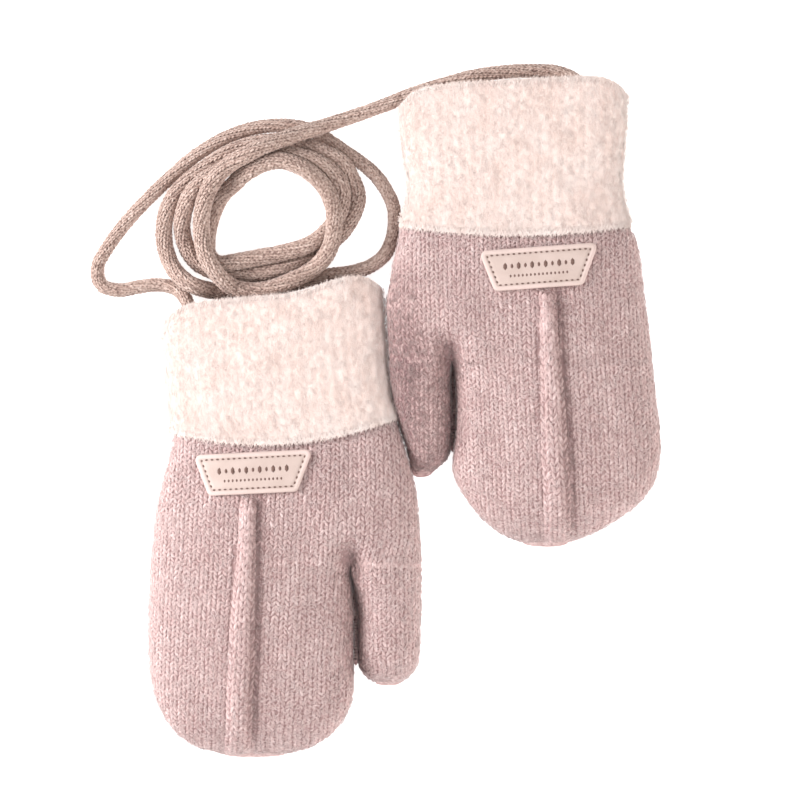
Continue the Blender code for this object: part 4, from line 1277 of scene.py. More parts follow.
def tip_yarn(mitten, rows, tip, settings, rng):
    """Legs that follow the round outline of a tip, which its rings end short of."""
    last = rows[-1]
    spine = 1.0 if rows is mitten.fingers else 0.0
    centres = []
    for side, reach in ((-1.0, last.outer + tip.across), (1.0, last.thumb_side - tip.across)):
        for turn in np.arange(0.0, 1.0, TIP_STEP / (reach * MM)):
            for inside, level in TIP_ROWS:
                line = []
                for share in LEG_SHARES - 0.5:
                    way = turn + 1.9 * TIP_STEP * share / (reach * MM)
                    bow = math.sqrt(max(0.0, 1.0 - way * way))
                    across = (tip.across + side * reach * way) * MM
                    along = (last.along + (tip.along + 0.35 - last.along) * bow - inside) * MM
                    section = section_at(rows, along)
                    ridge = spine * float(spine_rise(mitten, along, across))
                    height = level * WAIST * section.height * (0.75 + 0.25 * bow)
                    if level > 1.0:
                        over = wall_points(section, np.array([across]), np.array([True]), SINK)[0, 2]
                        height = min(over, level * WAIST * section.height)
                    height += min(1.0, 0.7 * level) * ridge
                    line.append((across, along, height))
                centres.append(line)
    centres = world(mitten, np.array(centres))
    return even_legs(centres, np.zeros_like(centres) + (0.0, -0.6, 0.8), settings, rng)


def even_legs(centres, ups, settings, rng):
    """Legs of the usual size along the given lines."""
    widths = settings.leg_width * np.tile(LEG_PLUMP, (len(centres), 1))
    heights = widths * settings.leg_height / settings.leg_width
    tones = np.clip(rng.normal(0.5, TONE_SPREAD, len(centres)), 0.0, 1.0)
    return spindles(centres, ups, widths, heights, LEG_SIDES, tones, YARN_SOFTNESS)


def gap_middle(mitten, along):
    """Where the middle of the gap between the fingers and the thumb is."""
    fingers = section_at(mitten.fingers, along)
    return 0.5 * (fingers.thumb_side - section_at(mitten.thumb, along).outer)


def gap_yarn(mitten, rng):
    """Yarn that fills the narrow gap between the hand and the thumb, low in it, which shaded() paints dark
    as the groove's shade.
    """
    centres = []
    for along in np.arange(crotch_of(mitten), mitten.gap_end * MM, GAP_STEP):
        middle = gap_middle(mitten, along)
        for height in GAP_ROWS:
            centres.append([
                (middle + rng.normal(0.0, 0.12) * MM, along + share * GAP_LEG, height)
                for share in LEG_SHARES - 0.5
            ])
    centres = world(mitten, np.array(centres))
    widths = GAP_YARN * np.tile(THREAD_PLUMP, (len(centres), 1))
    tones = np.full(len(centres), GAP_TONE)
    return spindles(centres, upright(centres), widths, 0.9 * widths, LEG_SIDES, tones, YARN_SOFTNESS)


def shaded(mitten, lot):
    """The lot with shade painted into its tone beside the thumb's groove and the spine, and the other
    mitten's shadow painted on the thumb and the edge beside it.
    """
    across = mitten.side * (lot.points[:, 0] - mitten.seat[0] * MM)
    along = mitten.seat[1] * MM - lot.points[:, 1]
    crotch = crotch_of(mitten)
    gap_end = mitten.gap_end * MM
    places = np.linspace(crotch, gap_end, 12)
    middle = np.interp(along, places, [gap_middle(mitten, place) for place in places])
    reach = smooth_step((along - crotch + GROOVE_RUN) / GROOVE_RUN)
    reach = reach * smooth_step((gap_end + GROOVE_RUN - along) / GROOVE_RUN)
    groove = reach * np.exp(-((across - middle) / GROOVE_SHADE) ** 2)
    places = np.linspace(0.0, mitten.fingers[-1].along * MM, 60)
    spine = np.interp(along, places, [spine_across(place) for place in places])
    half = np.interp(along, places, [spine_half(mitten, place) for place in places])
    offset = mitten.side * (across - spine)
    beside = np.exp(-((offset - half - SPINE_SHADE) / SPINE_SHADE) ** 2)
    other = np.exp(-((offset + half + 0.5 * SPINE_SHADE) / (0.6 * SPINE_SHADE)) ** 2)
    flank = SPINE_FLANK * smooth_step(offset / half) * (offset < half)
    on = smooth_step((along - spine_start(mitten)) / SPINE_RUN_IN)
    on = on * smooth_step((mitten.fingers[-1].along * MM - along) / SPINE_FADE)
    # Painted shadow that the other mitten casts on the thumb and on the edge of the hand beside it.
    dull = mitten.dull * smooth_step((along - crotch + SHADE_RUN) / SHADE_RUN)
    dull = dull * smooth_step((across - mitten.split * MM + GROOVE_SHADE) / (2.0 * GROOVE_SHADE))
    edge = smooth_step((across - SHADE_EDGE) / SHADE_EDGE_WIDTH)
    edge = edge * smooth_step((along - SHADE_EDGE_START) / SHADE_RUN)
    dull = dull + SHADE_EDGE_DARK * mitten.dull * edge
    change = -GROOVE_DARK * groove - on * (SPINE_DARK * beside + SPINE_DARK_LIT * other + flank) - dull
    yarn = lot.yarn.copy()
    yarn[:, 2] += change
    return lot._replace(tone=lot.tone + change, yarn=yarn)


def spine_scale(mitten, t):
    """The spine's width at places along it, as a share of its full width."""
    return np.array([spine_half(mitten, place) for place in t]) / SPINE_HALF_WIDTH


def strewn(skin, per_square_mm, steepest, rng):
    """Random places over a skin whose normals rise less than steepest, fewer on its resting side."""
    reach = skin.columns * SKIN_STEP
    area = 2.0 * reach * skin.length / (MM * MM)
    count = int(area * per_square_mm)
    s = rng.uniform(-reach, reach, count)
    t = rng.uniform(0.0, skin.length - STREWN_SHORT, count)
    _, normals = skin.at(s, t)
    seen = (normals[:, 2] > RESTING_SLOPE) | (rng.random(count) < HIDDEN_SHARE)
    seen &= normals[:, 2] < steepest
    kept = skin.holds(s, t) & seen
    return s[kept], t[kept]


def fibres(skin, per_square_mm, length, radius, base, lift, steepest, rng):
    """Short loose fibres that curl over the cloth, base above its skin, and stand a little off."""
    s, t = strewn(skin, per_square_mm, steepest, rng)
    count = len(s)
    points, normals = skin.at(s, t)
    ahead = skin.at(s, t + 0.5 * MM)[0] - points
    aside = skin.at(s + 0.5 * MM, t)[0] - points
    turn = rng.normal(0.0, 1.0, (count, 1)) + math.pi * rng.integers(0, 2, (count, 1))
    way = unit(ahead * np.cos(turn) + aside * np.sin(turn))
    side = np.cross(normals, way)
    reach = length * rng.uniform(0.5, 1.4, (count, 1))
    rise = lift * rng.uniform(0.2, 1.3, (count, 1))
    bend = rng.normal(0.0, 0.22, (count, 1)) * reach
    points = points + normals * base * rng.uniform(0.6, 1.1, (count, 1))
    start = points - way * 0.5 * reach
    crown = points + normals * rise + side * bend
    end = points + way * 0.5 * reach + normals * rise * rng.uniform(-0.6, 1.2, (count, 1))
    centres = np.stack([start, crown, end], axis=1)
    ups = np.repeat(normals[:, None], 3, axis=1)
    half = radius * rng.uniform(0.6, 1.4, (count, 1)) * TUFT_PLUMP
    tone = rng.uniform(0.3, 1.0, count)
    return spindles(centres, ups, half, half, FINE_SIDES, tone, FLUFF_SOFTNESS)


def knit_fuzz(skin, settings, rng):
    """Fibres brushed out of the knitting."""
    return fibres(
        skin, settings.fuzz, settings.fuzz_length, settings.fuzz_radius,
        1.1 * settings.leg_height, 0.30 * MM, ANY_SLOPE, rng,
    )


# ---- Finishes ----

class Finish:
    """A node material, mixed with short calls."""

    def __init__(self, name, roughness, **sockets):
        self.material = bpy.data.materials.new(name)
        self.material.use_nodes = True
        self.nodes = self.material.node_tree.nodes
        self.links = self.material.node_tree.links
        self.shader = self.nodes["Principled BSDF"]
        self.shader.inputs["Roughness"].default_value = roughness
        self.shader.inputs["Specular IOR Level"].default_value = 0.25
        for socket, value in sockets.items():
            self.shader.inputs[socket.replace("_", " ")].default_value = value

    def node(self, kind, values=(), **settings):
        """A node with its inputs set or linked, by name or number."""
        made = self.nodes.new(kind)
        for name, value in settings.items():
            setattr(made, name, value)
        for socket, value in dict(values).items():
            if isinstance(value, bpy.types.NodeSocket):
                self.links.new(value, made.inputs[socket])
            else:
                made.inputs[socket].default_value = value
        return made

    def attribute(self, name, output="Fac"):
        return self.node("ShaderNodeAttribute", attribute_name=name).outputs[output]

    def noise(self, scale, stretch=(1.0, 1.0, 1.0), detail=2.0, rough=0.5):
        """Noise in the object's own place, with scale in repeats per metre."""
        place = self.node("ShaderNodeTexCoord").outputs["Object"]
        mapped = self.node("ShaderNodeMapping", {"Vector": place, "Scale": stretch})
        return self.node("ShaderNodeTexNoise", {
            "Vector": mapped.outputs[0], "Scale": scale, "Detail": detail, "Roughness": rough,
        }).outputs["Fac"]

    def math(self, operation, first, second=0.0, third=0.0, clamp=False):
        values = {0: first, 1: second, 2: third}
        return self.node("ShaderNodeMath", values, operation=operation, use_clamp=clamp).outputs[0]

    def marl(self, *parts):
        """The parts added up and kept between 0 and 1; each is (output, gain, offset)."""
        total = self.math("MULTIPLY_ADD", *parts[0])
        for number, part in enumerate(parts[1:], 2):
            part = self.math("MULTIPLY_ADD", *part)
            total = self.math("ADD", total, part, clamp=number == len(parts))
        return total

    def ramp(self, factor, stops):
        """A colour ramp; stops are (place, colour)."""
        made = self.node("ShaderNodeValToRGB", {"Fac": factor})
        elements = made.color_ramp.elements
        while len(elements) < len(stops):
            elements.new(0.5)
        for element, (place, colour) in zip(elements, stops):
            element.position = place
            element.color = (*colour, 1.0)
        return made.outputs["Color"]

    def colour(self, output):
        self.links.new(output, self.shader.inputs["Base Color"])

    def bump(self, height, strength, distance):
        made = self.node("ShaderNodeBump", {"Height": height, "Strength": strength, "Distance": distance})
        self.links.new(made.outputs["Normal"], self.shader.inputs["Normal"])


def yarn_plies(finish, pitch_mm, slant):
    """Height of the twisted plies along a leg of yarn."""
    parts = finish.node("ShaderNodeSeparateXYZ", {0: finish.attribute("yarn", "Vector")})
    turned = finish.math("MULTIPLY_ADD", parts.outputs[1], slant, parts.outputs[0])
    wave = finish.math("SINE", finish.math("MULTIPLY", turned, 2.0 * math.pi / pitch_mm))
    return finish.math("MULTIPLY_ADD", wave, 0.5, 0.5)


def knit_finish(settings):
    """Marled, brushed yarn: dark and light flecks over dusty pink, darker where shade is painted into its
    tone.
    """
    finish = Finish("marled_knit_yarn", 0.95, Sheen_Weight=0.15, Sheen_Roughness=0.6)
    finish.shader.inputs["Sheen Tint"].default_value = (*settings.light, 1.0)
    fleck = finish.noise(1150.0, (1.0, 0.55, 1.0), detail=2.0, rough=0.6)
    mist = finish.noise(95.0, (1.0, 0.5, 1.0), detail=2.0)
    # The tone attribute also carries the shade that shaded() paints.
    tone = finish.marl((finish.attribute("tone"), 0.4, -0.2), (mist, 0.4, -0.2), (fleck, 1.6, -0.22))
    finish.colour(finish.ramp(tone, [
        (0.0, settings.dark), (0.25, settings.shade), (0.6, settings.base), (1.0, settings.light),
    ]))
    fluff = finish.noise(3200.0, detail=1.0)
    height = finish.math("MULTIPLY_ADD", yarn_plies(finish, 0.62, 0.35), 0.6, fluff)
    finish.bump(height, 0.4, 0.00014)
    return finish.material


def knit_ground_finish(settings):
    """The ground between the legs of the stitches, painted in the yarn's darker colours as the shade
    between them.
    """
    finish = Finish("knit_ground", 1.0)
    mottle = finish.noise(900.0, detail=2.0)
    deep = tuple(0.5 * (a + b) for a, b in zip(settings.dark, settings.shade))
    finish.colour(finish.ramp(mottle, [(0.3, deep), (0.8, settings.shade)]))
    finish.bump(finish.noise(1500.0, detail=2.0), 0.6, 0.0003)
    return finish.material


def fuzz_finish(name, light, base):
    """Loose fibres, a little see-through in look because they are pale and thin."""
    finish = Finish(name, 0.85, Sheen_Weight=0.2, Sheen_Roughness=0.5)
    # Its darkest colour is reached where shaded() paints shade into the tone.
    dull = tuple(0.55 * channel for channel in base)
    finish.colour(finish.ramp(finish.attribute("tone"), [(0.0, dull), (0.35, base), (0.8, light)]))
    return finish.material


def fleece_finish(name, settings, depth):
    """Brushed cream cloth with a blush of pink here and there; light goes depth into it."""
    finish = Finish(
        name, 0.95, Sheen_Weight=0.2, Sheen_Roughness=0.5, Subsurface_Weight=0.6 if depth else 0.0,
        Subsurface_Radius=(1.0, 0.92, 0.9), Subsurface_Scale=depth,
    )
    blush = finish.noise(150.0, (1.0, 0.6, 1.0), detail=3.0)
    speck = finish.noise(800.0, (1.0, 0.6, 1.0), detail=2.0)
    tone = finish.marl((finish.attribute("tone"), 0.3, -0.15), (speck, 0.25, -0.125), (blush, 1.5, -0.15))
    finish.colour(finish.ramp(tone, [
        (0.0, settings.shade), (0.45, settings.blush), (1.0, settings.cream),
    ]))
    finish.bump(finish.noise(2600.0, detail=1.0), 0.4, 0.0002)
    return finish.material


def cord_finish(settings):
    finish = Finish("rose_brown_cord_yarn", 0.9, Sheen_Weight=0.2, Sheen_Roughness=0.6)
    fleck = finish.noise(1300.0, detail=2.0, rough=0.6)
    tone = finish.marl((finish.attribute("tone"), 0.5, -0.25), (fleck, 2.0, -0.5))
    finish.colour(finish.ramp(tone, [
        (0.0, settings.dark), (0.45, settings.base), (1.0, settings.light),
    ]))
    height = finish.math("MULTIPLY_ADD", yarn_plies(finish, 0.5, 0.35), 0.6, finish.noise(3600.0))
    finish.bump(height, 0.5, 0.00012)
    return finish.material


def leatherette_finish(name, base, light):
    finish = Finish(name, 0.6)
    worn = finish.noise(160.0, detail=3.0)
    finish.colour(finish.ramp(worn, [(0.3, base), (0.75, light)]))
    grain = finish.node("ShaderNodeTexVoronoi", {
        "Vector": finish.node("ShaderNodeTexCoord").outputs["Object"], "Scale": 2600.0,
    }).outputs["Distance"]
    finish.bump(finish.math("ADD", grain, finish.noise(5200.0)), 0.35, 0.00008)
    return finish.material


def thread_finish(name, colour):
    finish = Finish(name, 0.7)
    speck = finish.noise(2400.0, detail=2.0)
    darker = tuple(0.7 * channel for channel in colour)
    finish.colour(finish.ramp(speck, [(0.3, darker), (0.7, colour)]))
    finish.bump(yarn_plies(finish, 0.35, 0.4), 0.4, 0.00008)
    return finish.material


# ---- Settings ----

def number_property(name, description, default, **kind):
    return FloatProperty(name=name, description=description, default=default, min=0.0, **kind)


def length_property(name, description, default):
    return number_property(name, description, default, precision=5, subtype="DISTANCE", unit="LENGTH")


def power_property(name, description, default):
    return number_property(name, description, default, unit="POWER")


def colour_property(name, description, default):
    return FloatVectorProperty(
        name=name, description=description, default=default, size=3, min=0.0, max=1.0,
        subtype="COLOR",
    )


class StageSettings(bpy.types.PropertyGroup):
    view_width: length_property("View Width", "Width of floor that the camera frames", 0.2384)
    view_height: length_property("Camera Height", "How high the camera hangs", 2.0)
    floor: colour_property("Floor", "Colour of the floor", (0.93, 0.93, 0.93))
    floor_glow: number_property("Floor Glow", "How strongly the floor shines like a light table", 0.7)
    key_power: power_property("Key Light", "Power of the large light on the left", 18.0)
    fill_power: power_property("Fill Light", "Power of the soft light beyond the fingertips", 7.0)
    side_power: power_property("Side Light", "Power of the low light on the right", 3.5)
    sky: number_property("Sky", "Strength of the even light all round", 0.64, subtype="FACTOR", max=4.0)


class KnitSettings(bpy.types.PropertyGroup):
    wale: length_property("Wale", "Width of one column of stitches", 2.70 * MM)
    course: length_property("Course", "Height of one row of stitches", 1.33 * MM)
    leg_width: length_property("Leg Half Width", "Half the width of a stitch's leg", 0.60 * MM)
    leg_height: length_property("Leg Half Height", "Half the height of a stitch's leg", 0.33 * MM)
    fuzz: number_property("Fuzz", "Loose fibres for each square millimetre", 1.45)
    fuzz_length: length_property("Fuzz Length", "Length of a loose fibre", 2.1 * MM)
    fuzz_radius: length_property("Fuzz Radius", "Radius of a loose fibre", 0.095 * MM)
    # The painted shade of shaded() lowers the yarn's tone toward the dark and shaded colours, and the
    # ground's painted shade is made of them.
    dark: colour_property("Dark Fleck", "Darkest fibres of the yarn", (0.25, 0.150, 0.150))
    shade: colour_property("Shaded Yarn", "Darker part of the yarn", (0.43, 0.285, 0.275))
    base: colour_property("Yarn", "Main colour of the yarn", (0.585, 0.415, 0.400))
    light: colour_property("Light Fleck", "Palest fibres of the yarn", (0.76, 0.605, 0.590))


class CuffSettings(bpy.types.PropertyGroup):
    rib_rise: length_property("Rib Rise", "How far the cuff's ribs stand out", 0.22 * MM)
    tufts: number_property("Tufts", "Tufts of fleece for each square millimetre", 2.4)
    tuft_length: length_property("Tuft Length", "Length of a tuft of fleece", 1.7 * MM)
    tuft_width: length_property("Tuft Half Width", "Half the width of a tuft", 0.085 * MM)
    cream: colour_property("Cream", "Palest part of the fleece", (0.895, 0.78, 0.735))
    blush: colour_property("Blush", "Pinkish part of the fleece", (0.855, 0.70, 0.645))
    shade: colour_property("Shade", "Deepest part of the fleece", (0.78, 0.61, 0.55))


class CordSettings(bpy.types.PropertyGroup):
    diameter: length_property("Diameter", "Diameter of the cord", CORD_DIAMETER)
    course: length_property("Course", "Height of one row of stitches on the cord", 1.25 * MM)
    wales: IntProperty(name="Wales", description="Columns of stitches round the cord", default=8, min=4)
    # The core's painted shade also runs toward this colour.
    dark: colour_property("Dark Fleck", "Darkest fibres of the cord", (0.19, 0.11, 0.095))
    base: colour_property("Yarn", "Main colour of the cord", (0.51, 0.36, 0.305))
    light: colour_property("Light Fleck", "Palest fibres of the cord", (0.74, 0.59, 0.53))


class PatchSettings(bpy.types.PropertyGroup):
    base: colour_property("Leatherette", "Main colour of the patch", (0.55, 0.425, 0.38))
    light: colour_property("Worn Leatherette", "Paler, worn part of the patch", (0.63, 0.50, 0.455))
    rim: colour_property("Rim", "Pale pink of the patch's pressed rim", (0.73, 0.56, 0.525))
    thread: colour_property("Thread", "Colour of the sewing thread", (0.20, 0.12, 0.10))
    margin: length_property("Stitch Margin", "From the patch's edge to its sewing", 1.7 * MM)
    stitch: length_property("Stitch Pitch", "From one stitch of the sewing to the next", 1.65 * MM)


# ---- Operators ----

class MITTENS_OT_stage(bpy.types.Operator):
    """Set up the camera straight above, soft light from the left and a pale floor"""

    bl_idname = "mittens.stage"
    bl_label = "Stage"

    def execute(self, context):
        settings = context.scene.mitten_stage
        scene = context.scene
        camera = bpy.data.cameras.new("camera")
        made = placed("camera", camera)
        made.location = (*VIEW_MIDDLE, VIEW_LEVEL + settings.view_height)
        camera.sensor_width = 36.0
        camera.lens = camera.sensor_width * settings.view_height / settings.view_width
        camera.clip_start = 0.1
        camera.clip_end = 10.0
        scene.camera = made
        scene.view_settings.view_transform = "Standard"
        self.light("key", (-1.05, 0.25, 0.55), 0.5, settings.key_power)
        self.light("fill", (0.40, -0.80, 0.85), 1.0, settings.fill_power)
        side = self.light("side", (1.00, -0.20, 0.40), 0.7, settings.side_power)
        side.data.color = (1.0, 0.92, 0.82)
        world_look = bpy.data.worlds.new("sky")
        world_look.use_nodes = True
        sky = world_look.node_tree.nodes["Background"]
        sky.inputs["Color"].default_value = (1.0, 1.0, 1.0, 1.0)
        sky.inputs["Strength"].default_value = settings.sky
        scene.world = world_look
        self.floor(settings)
        return {"FINISHED"}

    def light(self, name, place, size, power):
        """A square soft light that looks at the mittens."""
        lamp = bpy.data.lights.new(name, "AREA")
        lamp.size = size
        lamp.energy = power
        made = placed(name, lamp)
        made.location = place
        made.rotation_euler = Vector(place).to_track_quat("Z", "Y").to_euler()
        made.visible_camera = False
        return made

    def floor(self, settings):
        data = bpy.data.meshes.new("floor")
        corners = [(x * FLOOR_HALF, y * FLOOR_HALF, 0.0) for x, y in ((-1, -1), (1, -1), (1, 1), (-1, 1))]
        data.from_pydata(corners, [], [(0, 1, 2, 3)])
        finish = Finish("pale_floor", 0.9, Emission_Strength=settings.floor_glow)
        finish.shader.inputs["Emission Color"].default_value = (1.0, 1.0, 1.0, 1.0)
        grain = finish.noise(30.0, detail=1.0)
        paler = tuple(min(1.0, 1.02 * channel) for channel in settings.floor)
        finish.colour(finish.ramp(grain, [(0.3, tuple(settings.floor)), (0.7, paler)]))
        data.materials.append(finish.material)
        made = placed("floor", data)


def smooth_route(points, pieces=16):
    """A smooth curve through the route's own points."""
    gaps = np.linalg.norm(np.diff(points, axis=0), axis=1)
    ways = np.diff(points, axis=0) / gaps[:, None]
    slopes = [ways[0]]
    for i in range(1, len(ways)):
        before, after = gaps[i - 1], gaps[i]
        slopes.append((ways[i - 1] * after + ways[i] * before) / (before + after))
    slopes.append(ways[-1])
    curve = [
        curve_between(points, slopes, i, k / pieces, gap)
        for i, gap in enumerate(gaps) for k in range(pieces)
    ]
    return np.array(curve + [points[-1]])


def evenly_along(curve, count):
    lengths = run_lengths(curve)
    return read_along(curve, lengths, np.linspace(0.0, lengths[-1], count))


def core_tube(skin, sides, spacing):
    """The cord's inner tube as yarn-like triangles, closed at both ends, toned darker than the legs as
    painted shade in the gaps between them.
    """
    rings = int(skin.length / spacing) + 1
    t = np.linspace(0.0, skin.length, rings)
    s = 2.0 * math.pi * skin.radius * np.arange(sides) / sides
    points, normals = skin.at(np.tile(s, (rings, 1)), np.repeat(t[:, None], sides, axis=1))
    points = points.reshape(-1, 3)
    normals = np.concatenate([normals.reshape(-1, 3), [skin.normals[0], skin.normals[-1]]])
    triangles = []
    for ring in range(rings - 1):
        for side in range(sides):
            a, b = ring * sides + side, ring * sides + (side + 1) % sides
            c, d = b + sides, a + sides
            triangles += [(a, b, c), (a, c, d)]
    ends = [skin.path[0], skin.path[-1]]
    first, last = len(points), len(points) + 1
    for side in range(sides):
        after = (side + 1) % sides
        triangles += [(first, after, side), (last, last - 1 - sides + side, last - 1 - sides + after)]
    points = np.concatenate([points, ends])
    points[:, 2] = np.maximum(points[:, 2], FLOOR_GAP)
    triangles = np.array(triangles)
    # A low tone, so that the core shows darker than the legs in the gaps between them: painted shade.
    tone = np.full(len(points), 0.1)
    yarn = np.zeros((len(points), 3))
    uv = np.zeros((3 * len(triangles), 2))
    corner = np.array([(0, 0), (1, 0), (1, 1), (0, 0), (1, 1), (0, 1)], float)
    body = np.tile(corner, (rings * sides - sides, 1)).reshape(-1, 2)
    cell = np.repeat(np.arange((rings - 1) * sides), 6)
    body = (np.stack([cell % sides, cell // sides], axis=1) + body) / (sides, rings)
    uv[: len(body)] = body
    uv[len(body):] = (0.5, (rings - 0.5) / rings) + 0.2 / rings * np.tile(
        [(0, 0), (1, 0), (0, 1)], (2 * sides, 1))
    return Yarn(points, triangles, tone, yarn, uv, normals)


class MITTENS_OT_cord(bpy.types.Operator):
    """Knit the neck cord along its loose route between the two cuffs"""

    bl_idname = "mittens.cord"
    bl_label = "Neck Cord"

    def execute(self, context):
        settings = context.scene.mitten_cord
        path = evenly_along(smooth_route(np.array(CORD_ROUTE) * MM), CORD_POINTS)
        path[:, 2] = np.maximum(path[:, 2], 0.5 * CORD_DIAMETER + CORD_REST)
        radius = 0.5 * settings.diameter - CORD_YARN
        skin = CordSkin(path, radius)
        rng = np.random.default_rng(CORD_SEED)
        wale = 2.0 * math.pi * radius / settings.wales
        courses = np.arange(int(skin.length / settings.course))
        s, t = np.meshgrid(
            np.arange(settings.wales) * wale, (courses + 0.5) * settings.course, indexing="ij"
        )
        s, t = s.ravel(), t.ravel()
        legs = laid_stitches(
            skin, s, t, np.full(len(s), wale), settings.course, CORD_LEG, FINE_SIDES, rng,
        )
        core = core_tube(CordSkin(path, radius - CORE_SINK), CORE_SIDES, CORE_STEP)
        material = cord_finish(settings)
        cord = yarn_piece("neck_cord_knit", gathered([core, legs]), material)
        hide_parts("neck_cord")
        return {"FINISHED"}


class MITTENS_OT_hands(bpy.types.Operator):
    """Knit the hands and thumbs: shells, stitches, spines and loose fibres"""

    bl_idname = "mittens.hands"
    bl_label = "Hands and Thumbs"

    def execute(self, context):
        settings = context.scene.mitten_knit
        yarn = knit_finish(settings)
        ground = knit_ground_finish(settings)
        fuzz = fuzz_finish("knit_fuzz", settings.light, settings.base)
        for number, mitten in enumerate((LEFT, RIGHT)):
            rng = np.random.default_rng(HAND_SEED + number)
            shells = (hand_shell(mitten, ground), thumb_shell(mitten, ground))
            hand, thumb = hand_skin(mitten), thumb_skin(mitten)
            hand_lots = hand_stitches(mitten, hand, settings, rng)
            thumb_lots = thumb_stitches(mitten, hand, thumb, settings, rng)
            hand_lots += darned(shells, hand_lots + thumb_lots, settings, rng)
            hand_lots.append(gap_yarn(mitten, rng))
            hand_lots.append(tip_yarn(mitten, mitten.fingers, mitten.finger_tip, settings, rng))
            thumb_lots.append(seam_yarn(mitten, settings, rng))
            thumb_lots.append(tip_yarn(mitten, mitten.thumb, mitten.thumb_tip, settings, rng))
            pieces = ((f"hand_{mitten.name}", hand, hand_lots), (f"thumb_{mitten.name}", thumb, thumb_lots))
            cuts = ({"flat": (0.158, 0.098), "area": 0.0150}, {"flat": (0.052, 0.036)})
            for shell, (node, skin, lots), cut in zip(shells, pieces, cuts):
                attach(shell, "root")
                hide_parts(node)
                knit = shaded(mitten, gathered(lots))
                loose = shaded(mitten, knit_fuzz(skin, settings, rng))
                stitches = yarn_piece(f"{node}_stitches", knit, yarn)
                fluff = yarn_piece(f"{node}_fuzz", loose, fuzz)
        return {"FINISHED"}


def lumps(share, along):
    """Soft unevenness of the brushed cloth, from a few waves that close round the cuff."""
    height = np.zeros_like(share)
    for number in range(LUMP_WAVES):
        turns = 9 + 5 * number
        length = (11.0 - number) * MM * (1 if number % 2 else -1)
        height = height + np.sin(2.0 * math.pi * (turns * share + along / length) + number ** 2)
    return LUMP_RISE * height / math.sqrt(LUMP_WAVES)


def puffed_ring(mitten, along, count, settings):
    """The cuff's outside with its ribs, its lumps and the thick roll along its lower edge."""
    ring = cuff_ring(mitten, along, 0.0, count)
    share = np.arange(count) / count
    before, after = np.roll(ring, 1, axis=0), np.roll(ring, -1, axis=0)
    outward = unit(np.stack([after[:, 2] - before[:, 2], 0 * share, before[:, 0] - after[:, 0]], axis=1))
    wave = 0.5 + 0.5 * np.cos(2.0 * math.pi * CUFF_RIBS * share)
    rise = settings.rib_rise * (wave ** 0.7 - 0.5) + lumps(share, along)
    rise = rise + ROLL_RISE * smooth_step(1.0 + along / ROLL_LENGTH)
    return ring + outward * rise[:, None]


def cuff_shell(mitten, settings, material):
    """The cuff's ribbed tube, open at both ends."""
    shell = Shell(mitten)
    count = 4 * CUFF_RIBS
    loops = ([], [])
    for along in np.linspace(mitten.cuff[0].along * MM, -0.5 * SEAM_GAP, ROWS_CUFF):
        loops[0].append(shell.add(puffed_ring(mitten, along, count, settings)))
        loops[1].append(shell.add(cuff_ring(mitten, along, WALL, count)))
    for rings in loops:
        shell.bands(rings)
    shell.band(loops[0][0], loops[1][0])
    shell.band(loops[0][-1], loops[1][-1])
    return shell.finish(f"cuff_{mitten.name}_shell", material)


def cuff_skin(mitten, settings):
    alongs = np.linspace(mitten.cuff[0].along * MM, CUFF_SKIN_END, CUFF_RINGS)
    rings = [puffed_ring(mitten, along, CUFF_POINTS, settings) for along in alongs]
    return Skin(mitten, rings, [CUFF_POINTS // 4] * CUFF_RINGS)


def airy(normals):
    """Normals turned a little upward, because light goes through the edges of fleece."""
    return unit(normals + (0.0, 0.0, AIRINESS))


def tufts(skin, settings, rng):
    """Fleece: short flat tufts that lie roughly along the ribs and curl up a little."""
    s, t = strewn(skin, settings.tufts, ANY_SLOPE, rng)
    count = len(s)
    spread = rng.normal(0.0, 0.42, (count, 1)) + math.pi * (rng.random((count, 1)) < 0.3)
    reach = settings.tuft_length * rng.uniform(0.6, 1.3, (count, 1))
    shares = TUFT_SHARES[None] - 0.5
    curl = rng.normal(0.0, 0.25, (count, 1)) * reach
    bow = (0.25 - shares ** 2) * 4.0
    around = s[:, None] + np.sin(spread) * shares * reach + np.cos(spread) * bow * curl
    down = t[:, None] + np.cos(spread) * shares * reach - np.sin(spread) * bow * curl
    points, normals = skin.at(around, down)
    past = np.maximum(down - skin.length, 0.0) - np.maximum(-down, 0.0)
    points[..., 1] -= past
    base = rng.uniform(0.0, 0.12, (count, 1)) * MM
    lift = base + np.array([-0.10, 0.12, 0.0]) * MM * rng.uniform(0.5, 1.4, (count, 1))
    centres = points + normals * lift[..., None]
    half = settings.tuft_width * rng.uniform(0.6, 1.4, (count, 1))
    widths = half * TUFT_PLUMP
    tone = np.clip(0.5 + rng.normal(0.0, 0.12, count), 0.0, 1.0)
    return spindles(centres, normals, widths, 0.4 * widths, FINE_SIDES, tone, FLUFF_SOFTNESS)


